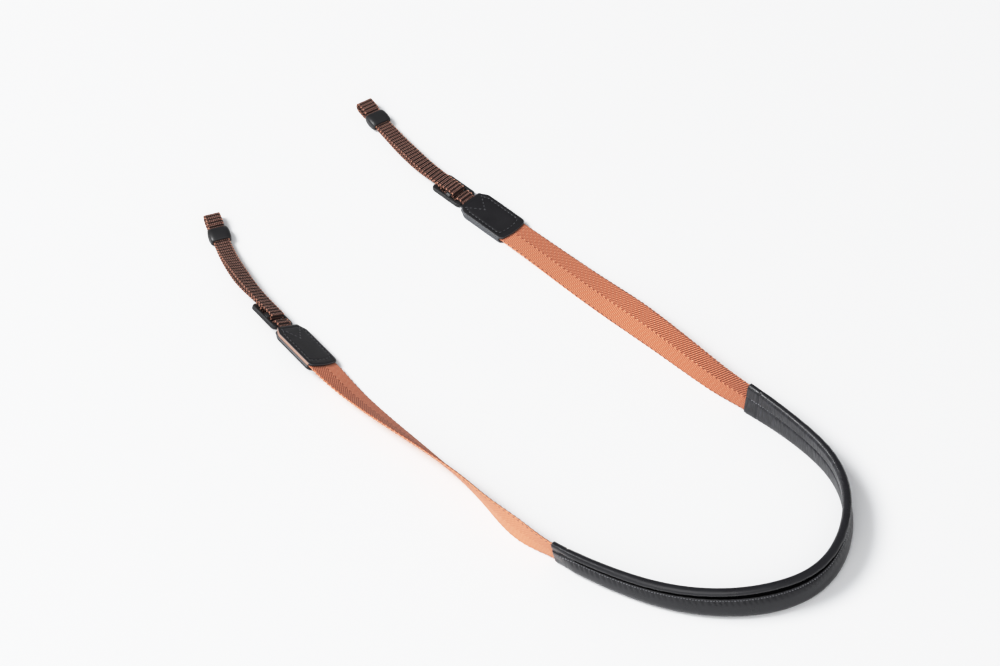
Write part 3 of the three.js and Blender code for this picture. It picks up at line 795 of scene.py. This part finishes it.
# %% Padded band
def fold_faces(along, rows, columns):
    """Marks the groove's quads, which take a matt near-black leather as painted shade. Each end runs out to a
    point.
    """
    marked = np.zeros((rows - 1, columns), int)
    first, last = (SECTION_SAMPLES * k for k in GROOVE_ROWS)
    point = GROOVE_POINT * np.abs(np.linspace(-1, 1, last - first))
    marked[2:-2, first:last] = np.abs(along[:-1]) < PAD_END - POCKET_DEPTH - point
    return marked.ravel().tolist() + [0, 0]


def padded_band():
    section = through(BAND, SECTION_SAMPLES)
    rim, first = PAD_END - RIM, PAD_END - FIRST_ROW
    places = [[-PAD_END, -rim], np.arange(-first, first, BAND_STEP), [rim, PAD_END]]
    along = np.concatenate(places)[:, None]
    across = np.broadcast_to(section[:, 0], (len(along), len(section))).copy()
    face = band_face(along, across, section[:, 1], section[:, 2])
    for end in (0, -1):
        across[end] *= RIM_WIDTH
        face[end] *= RIM_HEIGHT
    mouth = np.clip(section[:, 0], -POCKET_HALF_WIDTH, POCKET_HALF_WIDTH)
    slot = np.clip(section[:, 2], -POCKET_HALF_HEIGHT, POCKET_HALF_HEIGHT)
    depths = np.array([PAD_END - POCKET_LIP, PAD_END - POCKET_DEPTH])[:, None]
    left, right = (on_strap(way * depths, mouth, slot) for way in SIDES.values())
    points = np.concatenate([left[::-1], on_strap(along, across, face), right])
    flat = np.stack(np.broadcast_arrays(along, across, ease(face, INNER_FROM, INNER_FULL)), -1)
    flat = np.concatenate([flat[:2], flat, flat[-2:]])
    rows, columns = points.shape[:2]
    faces = grid_faces(rows, columns) + end_caps(rows, columns)
    piece = make_piece("padded_band", "shoulder_pad", points, faces, [PAD_LEATHER, GROOVE_SHADE],
                       fold_faces(along, rows, columns), {"flat": flat})


padded_band()

# %% [markdown]
# The band's thread is coloured paler than its leather, a painted highlight on its stitches. One row of
# stitches shows on both faces. Each stitch sinks into the leather that it pulls down.

# %% Stitches of the band
SEAM_MARGIN, SEAM_STEP = 4, 0.55


def band_seams():
    along = np.arange(SEAM_MARGIN - PAD_END, PAD_END - SEAM_MARGIN, SEAM_STEP)
    rows = []
    for padded, sleeve, proud in (STITCH_OUTER, STITCH_INNER):
        face = band_face(along, np.full_like(along, STITCH_ACROSS), padded, sleeve)
        up = strap_axes(along)[2] * np.sign(padded)
        rows.append((on_strap(along, STITCH_ACROSS, face + proud * np.sign(padded)), up))
    return rows


sew("band_stitches", band_seams(), BAND_THREAD_LIT, SEAM_PITCH, length=1.15, width=0.6, depth=0.6)

# %% [markdown]
# ## The leather tabs
#
# Two plates of leather are sewn round the ends of both tapes. Each plate is drawn as rings that follow its
# outline inwards: the rounded edge, the furrow that the stitches pull down, and the slightly crowned middle.
# A skirt along the long sides closes the gap where the two plates meet beside the tape.

# %% Tab outline
TAB_LENGTH, TAB_WIDTH, TAB_TAPER, TAB_INSET = TAB_END - TAB_START, 22, 5.2, 2.4
TAB_CORNER, TAB_WIDE_CORNER, TAB_EASE, TAB_BOW, SIDE_MIDDLE = 1.8, 3.6, 0.2, 1.8, -20
LEATHER_THICK, TAB_HALF_THICK = 1.4, 2.45
WIDE_END_LENGTH, WIDE_END_MARGIN = 6, 0.6


def bezier(a, b, c, count=10):
    t = (np.arange(count) / count)[:, None]
    return (1 - t) ** 2 * np.array(a) + 2 * t * (1 - t) * np.array(b) + t * t * np.array(c)


def tab_outline():
    half, end, r, wide = TAB_WIDTH / 2, -TAB_LENGTH, TAB_CORNER, TAB_WIDE_CORNER
    tip, sag = half - TAB_INSET, (TAB_EASE + TAB_BOW) / 2
    upper = np.vstack([
        bezier((0, tip - r), (0, tip - TAB_EASE), (-r, tip)),
        bezier((-r, tip), (-TAB_TAPER, half), (-TAB_TAPER - r, half)),
        bezier((-TAB_TAPER - r, half), (SIDE_MIDDLE, half), (end + wide, half), 24),
        bezier((end + wide, half), (end, half), (end - TAB_EASE, half - wide)),
        bezier((end - TAB_EASE, half - wide), (end - sag, (half - wide) / 2), (end - sag, 0), 12),
    ])
    return np.vstack([upper, [(end - sag, 0)], (upper * (1, -1))[::-1], [(0, 0)]])


def inwards(outline, distance):
    """The outline drawn in by one distance all round, and by more at the wide end, for its seam."""
    low, high = outline.min(0), outline.max(0)
    middle, half = (low + high) / 2, (high - low) / 2
    drawn_in = middle + (outline - middle) * (1 - distance / half)
    at_wide_end = ease(-outline[:, 0], TAB_LENGTH - WIDE_END_LENGTH, TAB_LENGTH)
    drawn_in[:, 0] += distance * WIDE_END_MARGIN * at_wide_end * ease(distance, 0.5, 2.0)
    return drawn_in


# %% Tab plates
# Columns: distance in from the edge, lift above the plate's underside, share of the skirt
UNDERSIDE = np.array([
    (3.0, 0, 0),
    (0.85, 0, 0),
    (0.7, 0, 1),
    (0.08, 0, 1),
    (0.03, 0.05, 0),
])

# Columns: distance in from the edge, drop below the plate's face
PLATE = np.array([
    (0.0, 0.55),
    (0.15, 0.3),
    (0.45, 0.12),
    (1.0, 0.03),
    (1.7, 0.0),
    (2.2, 0.06),
    (2.5, 0.2),
    (2.8, 0.2),
    (3.1, 0.05),
    (3.8, 0.0),
])
FURROW, CROWN, CROWN_SHARES, SKIRT = 2.65, 0.04, (0.8, 0.55, 0.3, 0.08), 0.95

# Where the skirt gives way to a tape at each end, and where the long sides begin
WIDE_MOUTH, NARROW_MOUTH, LONG_SIDE = (TAB_LENGTH - 3, TAB_LENGTH - 1), (-2.5, -0.5), 2.5 - TAB_LENGTH

# What each plate's side shows, from the joint between the two plates to the plate's face
BLACK, PAINTED, RAW = 0, 1, 2
SIDE_ROWS, BEVEL_ROW = (3, 4, 5), 5
EDGE_FINISH = {
    ("left", True): (RAW, RAW, PAINTED),
    ("left", False): (PAINTED, BLACK, BLACK),
    ("right", True): (PAINTED, PAINTED, PAINTED),
    ("right", False): (PAINTED, PAINTED, BLACK),
}


def tab_plate(side, way, top):
    outline = tab_outline()
    out, level = outline[:, 0], np.full(len(outline), TAB_HALF_THICK)
    mouth = ease(-out, *WIDE_MOUTH) + ease(out, *NARROW_MOUTH)
    skirt = np.clip(1 - mouth, 0, 1) * SKIRT
    rings, lifts = [], []
    for distance, lift, share in UNDERSIDE:
        rings.append(inwards(outline, distance))
        lifts.append(level - LEATHER_THICK + lift - skirt * share)
    for distance, drop in PLATE:
        rings.append(inwards(outline, distance))
        lifts.append(level - drop)
    centre, inner = np.array([-TAB_LENGTH / 2, 0]), rings[-1]
    for share in CROWN_SHARES:
        rings.append(centre + (inner - centre) * share)
        lifts.append(level + CROWN * top * (1 - share))
    flat, lift = np.stack(rings), np.stack(lifts) * (1 if top else -1)
    points = on_end(way, flat[..., 0], flat[..., 1], lift)
    rows, columns = points.shape[:2]
    faces = grid_faces(rows, columns) + end_caps(rows, columns)
    paint = np.zeros(len(faces), int)
    # Round the wide end the sides stay black, partly the leather's own black and partly painted shade where
    # the tape goes in. The bevel keeps its finish all round: on the top plates its grey is edge paint along
    # the long sides and a painted highlight round the wide end.
    for row, finish in zip(SIDE_ROWS, EDGE_FINISH[side, top]):
        shown = (out > LONG_SIDE) | (row == BEVEL_ROW)
        paint[row * columns:(row + 1) * columns] = np.where(shown, finish, BLACK)
    name = f"tab_{'top' if top else 'bottom'}_{side}"
    make_piece(f"leather_{name}", name, points, faces, [TAB_LEATHER, GREY_EDGE_AND_HIGHLIGHT, RAW_EDGE],
               paint.tolist())


for side, way in SIDES.items():
    for top in (True, False):
        tab_plate(side, way, top)

# %% [markdown]
# One seam holds a tab together. It runs round the plate in its furrow, and at the narrow end it turns in to a
# point, so that two rows cross the narrow tape.

# %% Stitches of the tabs
SEAM_POINT, SEAM_CORNER, FURROW_START, SEAM_POINTS = (-13.2, 0.0), (-3.2, 7.2), -5.5, 160
TOP_PROUD, BOTTOM_PROUD = 0.02, -0.12


def evenly(path, step=None, count=None):
    """Even distances along a path, and the points on it at those distances."""
    walked = np.concatenate([[0], np.cumsum(np.linalg.norm(np.diff(path, axis=0), axis=1))])
    even = np.linspace(0, walked[-1], count or round(walked[-1] / step))
    return even, np.stack([np.interp(even, walked, path[:, k]) for k in (0, 1)], -1)


def tab_seam(way, top):
    furrow = inwards(tab_outline(), FURROW)
    furrow = furrow[furrow[:, 0] < FURROW_START]
    path = np.vstack([SEAM_POINT, SEAM_CORNER, furrow, (SEAM_CORNER[0], -SEAM_CORNER[1]), SEAM_POINT])
    out, across = evenly(path, count=SEAM_POINTS)[1].T
    face = TAB_HALF_THICK + TOP_PROUD if top else -TAB_HALF_THICK - BOTTOM_PROUD
    up = strap_axes(way * (TAB_END + out))[2] * np.sign(face)
    return on_end(way, out, across, face), up


tab_seams = [tab_seam(way, top) for way in SIDES.values() for top in (True, False)]
sew("tab_stitches", tab_seams, TAB_THREAD, pitch=2.8, length=1.9, width=0.6, depth=0.45)

# %% [markdown]
# ## Sliders and keepers
#
# Both are injection moulded, so every edge has a radius. The slider's frame is one closed ring: a rounded bar
# section carried round a rounded rectangle. Its middle bar, which grips the tape, is a second rounded bar. The
# keeper is a barrel whose outside and inside skins are one ring too.

# %% Slider
SLIDER_WIDTH, SLIDER_LOW, SLIDER_THICK, SLIDER_CORNER = 15.8, -2.15, 2.8, 2.6
SLOT_WIDTH, SLOT_CORNER = 11.4, 0.9
BARS = {"near": 2, "slot": 6, "middle": 11, "middle_end": 14.8, "far": 21.5, "end": 26}
BAR_LOW, BAR_THICK, BAR_ROOT, BAR_SAG, BAR_SAG_LENGTH = 0.4, 1.6, 1.2, 0.75, 0.6
FRAME_SECTION, BAR_SECTION = {"count": 24, "power": 0.45}, {"count": 20, "power": 0.5}
FRAME_CORNER_POINTS, BAR_ROWS = 10, 60
GRIP_PITCH, GRIP_DEPTH, GRIP_REACH = 1.2, 0.05, 4.8


def rounded_rectangle(left, right, half_width, radius, count):
    """Points round a rectangle with round corners, the same number in each corner."""
    turn = np.linspace(0, np.pi / 2, count)
    corners = []
    for k, (x, y) in enumerate([(right, 1), (left, 1), (left, -1), (right, -1)]):
        centre = (x - math.copysign(radius, x - (left + right) / 2), y * (half_width - radius))
        angle = turn + k * np.pi / 2
        corners.append(np.stack([centre[0] + radius * np.cos(angle), centre[1] + radius * np.sin(angle)], -1))
    return np.vstack(corners)


def bar_section(count, power):
    """Points round a soft square from -1 to 1. A lower power makes it squarer."""
    angle = np.linspace(0, 2 * np.pi, count, endpoint=False)
    return (np.sign(part) * np.abs(part) ** power for part in (np.cos(angle), np.sin(angle)))


def slider_piece(side, way):
    count = FRAME_CORNER_POINTS
    outer = rounded_rectangle(BARS["near"], BARS["end"], SLIDER_WIDTH / 2, SLIDER_CORNER, count)
    inner = rounded_rectangle(BARS["slot"], BARS["far"], SLOT_WIDTH / 2, SLOT_CORNER, count)
    x, z = bar_section(**FRAME_SECTION)
    share = (x + 1) / 2
    flat = inner[:, None, :] + (outer - inner)[:, None, :] * share[None, :, None]
    lift = np.broadcast_to(SLIDER_LOW + SLIDER_THICK * (z + 1) / 2, flat.shape[:2])
    ring = on_end(way, flat[..., 0], flat[..., 1], lift)
    reach = SLOT_WIDTH / 2 + BAR_ROOT
    across = np.linspace(-reach, reach, BAR_ROWS)[:, None]
    grip = 1 + GRIP_DEPTH * wave(across, GRIP_PITCH) * (np.abs(across) < GRIP_REACH)
    bar_x, bar_z = bar_section(**BAR_SECTION)
    middle, half = (BARS["middle"] + BARS["middle_end"]) / 2, (BARS["middle_end"] - BARS["middle"]) / 2
    rise = BAR_LOW + BAR_THICK / 2 + BAR_THICK / 2 * bar_z * grip
    sag = BAR_SAG * ease(np.abs(across), SLOT_WIDTH / 2 - BAR_SAG_LENGTH, reach)
    bar = on_end(way, middle + half * bar_x * grip, across, rise - sag)
    points = np.vstack([ring.reshape(-1, 3), bar.reshape(-1, 3)])
    faces = grid_faces(*ring.shape[:2], wrap_rows=True)
    start = len(points) - bar.shape[0] * bar.shape[1]
    for face in grid_faces(*bar.shape[:2]) + end_caps(*bar.shape[:2]):
        faces.append([start + i for i in face])
    make_piece(f"moulded_slider_{side}", f"slider_{side}", points, faces, [MOULDED])


for side, way in SIDES.items():
    slider_piece(side, way)

# %% Keeper
KEEPER_WIDTH, KEEPER_THICK, HOLE_WIDTH, HOLE_HEIGHT = 13.6, 7, 10.7, 3
HOLE_CORNER, SKIN_CORNER, KEEPER_CORNER_POINTS = 0.5, 0.55, 8
KEEPER_FROM = KEEPER_START - TAB_END

# Columns: share of the keeper's length, share of its width, share of its thickness
BARREL = np.array([
    (0.0, 0.85, 0.62),
    (0.01, 0.87, 0.7),
    (0.07, 0.93, 0.82),
    (0.25, 0.98, 0.95),
    (0.5, 1.0, 1.0),
    (0.75, 0.98, 0.95),
    (0.93, 0.93, 0.82),
    (0.99, 0.87, 0.7),
    (1.0, 0.85, 0.62),
])


def keeper_piece(side, way):
    half, count = HOLE_WIDTH / 2, KEEPER_CORNER_POINTS
    hole = rounded_rectangle(-half, half, HOLE_HEIGHT / 2, HOLE_CORNER, count)
    skin = rounded_rectangle(-1, 1, 1, SKIN_CORNER, count)
    rings = [(length, skin * (width * KEEPER_WIDTH / 2, thick * KEEPER_THICK / 2))
             for length, width, thick in through(BARREL, 4, closed=False)]
    rings += [(length, hole) for length in (1.0, 0.5, 0.0)]
    out = np.array([KEEPER_FROM + length * KEEPER_LENGTH for length, _ in rings])[:, None]
    flat = np.stack([ring for _, ring in rings])
    points = on_end(way, out, flat[..., 0], flat[..., 1])
    faces = grid_faces(*points.shape[:2], wrap_rows=True)
    make_piece(f"moulded_keeper_{side}", f"keeper_{side}", points, faces, [MOULDED])


for side, way in SIDES.items():
    keeper_piece(side, way)

# %% [markdown]
# ## The narrow tape
#
# The tape leaves the tab, dips through the slider, runs to the keeper, turns round the end loop and comes back
# over the slider's middle bar, where its tail is tucked under. The route is a table of corners in side view,
# each with the radius of its turn. The tape has thick ribs across it, and copper yarns float over each rib.

# %% Route of the narrow tape
NARROW_WIDTH, NARROW_THICK, GAP, PLAY = 10, 1, 0.3, 0.1
SLIDER_TOP, BAR_TOP = SLIDER_LOW + SLIDER_THICK, BAR_LOW + BAR_THICK
HALF_TAPE = NARROW_THICK / 2
OVER, UNDER = SLIDER_TOP + GAP + HALF_TAPE, SLIDER_LOW - PLAY + HALF_TAPE
TUCKED, RETURN, LAYER = BAR_LOW - GAP - HALF_TAPE, BAR_TOP + GAP + HALF_TAPE, HALF_TAPE + GAP / 2
NEAR_DROP = BARS["slot"] + GAP + PLAY + HALF_TAPE
FAR_RISE = BARS["far"] - GAP - PLAY - HALF_TAPE
BAR_WRAP = BARS["middle"] - GAP - PLAY - HALF_TAPE
KEEPER_FAR = KEEPER_FROM + KEEPER_LENGTH
LOOP_WIDE, LOOP_FAR, LOOP_HALF = KEEPER_FAR + 3.6, KEEPER_FAR + LOOP_LENGTH - HALF_TAPE, 2.9
ARC_POINTS = 24

# Columns: out from the tab, lift above the strap's middle, radius of the turn
ROUTE = np.array([
    (-14, 0, 0),
    (0.6, 0, 1.6),
    (2.6, OVER, 1.6),
    (NEAR_DROP, OVER, 0.9),
    (NEAR_DROP, UNDER, 0.9),
    (FAR_RISE, UNDER, 0.9),
    (FAR_RISE, OVER, 0.9),
    (BARS["end"] + 1, OVER, 30),
    (KEEPER_FROM - 2, -LAYER, 30),
    (KEEPER_FAR, -LAYER, 2.4),
    (LOOP_WIDE, -LOOP_HALF, 2.4),
    (LOOP_FAR, -LOOP_HALF, 2.8),
    (LOOP_FAR, LOOP_HALF, 2.8),
    (LOOP_WIDE, LOOP_HALF, 2.4),
    (KEEPER_FAR, LAYER, 2.4),
    (KEEPER_FROM - 2, LAYER, 30),
    (52, 4.2, 110),
    (BARS["end"], RETURN, 30),
    (BAR_WRAP, RETURN, 0.9),
    (BAR_WRAP, TUCKED, 0.9),
    (BARS["middle_end"] + 1.4, TUCKED, 0),
])


def rounded_route(step):
    """Evenly spaced points along the route's straight runs and arcs, after their distances along it."""
    corners = ROUTE[:, :2]
    path = [corners[:1]]
    for before, corner, after, radius in zip(corners, corners[1:], corners[2:], ROUTE[1:-1, 2]):
        back, on = before - corner, after - corner
        back, on = back / np.linalg.norm(back), on / np.linalg.norm(on)
        half = np.arccos(np.clip(back @ on, -1, 1)) / 2
        middle = (back + on) / np.linalg.norm(back + on)
        centre = corner + middle * radius / np.sin(half)
        start = corner + back * radius / np.tan(half) - centre
        turn = (np.pi - 2 * half) * -np.sign(back[0] * on[1] - back[1] * on[0])
        angle = np.linspace(0, turn, ARC_POINTS)
        spun = np.stack([
            start[0] * np.cos(angle) - start[1] * np.sin(angle),
            start[0] * np.sin(angle) + start[1] * np.cos(angle),
        ], -1)
        path.append(centre + spun)
    return evenly(np.vstack(path + [corners[-1:]]), step)


def route_normal(route):
    slope = np.gradient(route, axis=0)
    slope /= np.linalg.norm(slope, axis=1)[:, None]
    return np.stack([-slope[:, 1], slope[:, 0]], -1)


# %% [markdown]
# The ribs are waves in the tape's thickness. The copper yarns and the stitches along its edges are sewn on
# with the same tree as the seams, along lines that follow each rib.

# %% Narrow tape
RIB_PITCH, RIB_HEIGHT, RIB_FOOT, RIB_SHOULDER = 2.65, 0.3, 0.3, 0.7
NARROW_EDGE, NARROW_ROUNDING, NARROW_COLUMNS = 0.5, 0.9, 17
WALKED_ROUTE, ROUTE_LINE = rounded_route(step=RIB_PITCH / 8)
ROUTE_NORMAL = route_normal(ROUTE_LINE)
NARROW_LENGTH = WALKED_ROUTE[-1]


def narrow_tape(side, way):
    across, face = tape_grid(NARROW_WIDTH, NARROW_COLUMNS)
    edge = edge_share(across, NARROW_WIDTH, NARROW_EDGE)
    rib = ease(np.abs(np.cos(np.pi * WALKED_ROUTE / RIB_PITCH)), RIB_FOOT, RIB_SHOULDER)
    proud = rib[:, None] * np.ones_like(across)
    roundness = np.sqrt(1 - NARROW_ROUNDING * edge ** 2)
    half = (HALF_TAPE - RIB_HEIGHT * (1 - proud)) * roundness * face
    out, lift = (ROUTE_LINE[:, k, None] + ROUTE_NORMAL[:, k, None] * half for k in (0, 1))
    points = on_end(way, out, across, lift)
    weave = np.stack(np.broadcast_arrays(WALKED_ROUTE[:, None], across, proud), -1)
    faces = tape_faces(len(WALKED_ROUTE), NARROW_COLUMNS)
    return make_piece(f"narrow_tape_{side}", f"narrow_webbing_{side}", points, faces, [BROWN_TAPE],
                      attributes={"weave": weave})


# %% Yarns of the narrow tape
YARNS_FROM, YARNS_TO = 12, NARROW_LENGTH - 4
DOTS, DOTS_REACH, DOTS_ASIDE, DOTS_SUNK = 8, 4.1, 0.45, 0.06
BINDING_REACH, BINDING_SUNK = 4.7, 0.18


def on_tape(way, picks, across, face, sunk):
    """A line on one face of the narrow tape, through picked points of its route and places across it."""
    out_of = ROUTE_NORMAL[picks] * face
    raised = ROUTE_LINE[picks] + out_of * (HALF_TAPE - sunk)
    place = on_end(way, raised[..., 0], across, raised[..., 1])
    above = on_end(way, raised[..., 0] + out_of[..., 0], across, raised[..., 1] + out_of[..., 1])
    up = above - place
    return place, up / np.linalg.norm(up, axis=-1)[..., None]


def rib_yarns(side, way):
    """A row of dots on each flank of each rib, and a binding along each edge, on both faces."""
    crests = np.arange(math.ceil(YARNS_FROM / RIB_PITCH), int(YARNS_TO / RIB_PITCH)) * RIB_PITCH
    picks = np.flatnonzero((WALKED_ROUTE > YARNS_FROM) & (WALKED_ROUTE < YARNS_TO))
    across = np.linspace(-DOTS_REACH, DOTS_REACH, DOTS)
    dots, binding = [], []
    for face in (-1, 1):
        for aside in (-DOTS_ASIDE, DOTS_ASIDE):
            for crest in crests:
                pick = np.full(DOTS, np.abs(WALKED_ROUTE - crest - aside).argmin())
                dots.append(on_tape(way, pick, across, face, DOTS_SUNK))
        for place in (-BINDING_REACH, BINDING_REACH):
            binding.append(on_tape(way, picks, np.full(len(picks), place), face, BINDING_SUNK))
    return [
        sew(f"rib_yarns_{side}", dots, ROSE_YARN,
            pitch=1.17, length=0.62, width=0.43, depth=0.34),
        sew(f"edge_yarns_{side}", binding, COPPER_YARN,
            pitch=RIB_PITCH, length=1.5, width=0.7, depth=0.5),
    ]


for side, way in SIDES.items():
    tape = narrow_tape(side, way)
    rib_yarns(side, way)
    print("flat size of the narrow tape:", NARROW_WIDTH * MM, round(NARROW_LENGTH * MM, 4))

# %% [markdown]
# ## Table and light
#
# The table is a plain pale board. A window high on the far left is the main light, and a softbox on the near
# left fills the shadows. The room itself is pale, and brightest on the near left too. A film curve like a
# camera's rolls off the brightest parts, so that the board stays just short of pure white.

# %% Table
BOARD_HALF, BOARD_DROP = 4.0, 0.1 * MM
corners = [(-1, -1), (1, -1), (1, 1), (-1, 1)]
board = bpy.data.meshes.new("table")
board.from_pydata([(x * BOARD_HALF, y * BOARD_HALF, -BOARD_DROP) for x, y in corners], [], [(0, 1, 2, 3)])
board_finish = {"Base Color": linear("#f4f5f6"), "Roughness": 0.9, "IOR": 1.4}
board.materials.append(new_material("pale matt board", board_finish)[0])
table = new_object("table", board)

# %% Light
WINDOW_WAY, WINDOW_DISTANCE = Vector((-0.495, 0.430, 0.755)), 4.5
SOFTBOX_WAY, SOFTBOX_DISTANCE = Vector((-0.60, -0.52, 0.61)), 3.0
BRIGHT_WALL, DIM_LEVEL, BRIGHT_LEVEL = (-0.62, -0.72, 0.31), 0.19, 0.63
ROOM_TINT = (0.98, 0.985, 1.0, 1)


def soft_light(name, place, size, watts):
    """A round lamp that faces the middle of the table."""
    lamp = bpy.data.lights.new(name, "AREA")
    lamp.shape = "DISK"
    lamp.size = size
    lamp.energy = watts
    light = new_object(name, lamp)
    light.location = place
    light.rotation_euler = (-place).to_track_quat("-Z", "Y").to_euler()


soft_light("window", WINDOW_WAY * WINDOW_DISTANCE, size=2.2, watts=228)
soft_light("softbox", SOFTBOX_WAY * SOFTBOX_DISTANCE, size=3.0, watts=48)
room = bpy.data.worlds.new("pale room")
room.use_nodes = True
room_tree = room.node_tree
look = add(room_tree, "ShaderNodeTexCoord").outputs["Generated"]
towards = add(room_tree, "ShaderNodeVectorMath", {0: look, 1: BRIGHT_WALL}, operation="DOT_PRODUCT")
wall = add(room_tree, "ShaderNodeMapRange", {
    "Value": towards, "From Min": -1, "From Max": 1, "To Min": DIM_LEVEL, "To Max": BRIGHT_LEVEL,
})
feed(room_tree, room_tree.nodes["Background"], {"Color": ROOM_TINT, "Strength": wall})
bpy.context.scene.world = room

# Film curve, as scene brightness and shown brightness
FILM = [(0.0, 0.0), (0.1, 0.08), (0.6, 0.6), (1.0, 0.86), (1.45, 0.945), (2.0, 0.985)]
view = bpy.context.scene.view_settings
view.view_transform = "Standard"
view.use_curve_mapping = True
film = view.curve_mapping
film.white_level = [FILM[-1][0]] * 3
curve = film.curves[3]
for scene_level, shown_level in FILM[1:-1]:
    curve.points.new(scene_level / FILM[-1][0], shown_level)
curve.points[-1].location = (1.0, FILM[-1][1])
film.update()
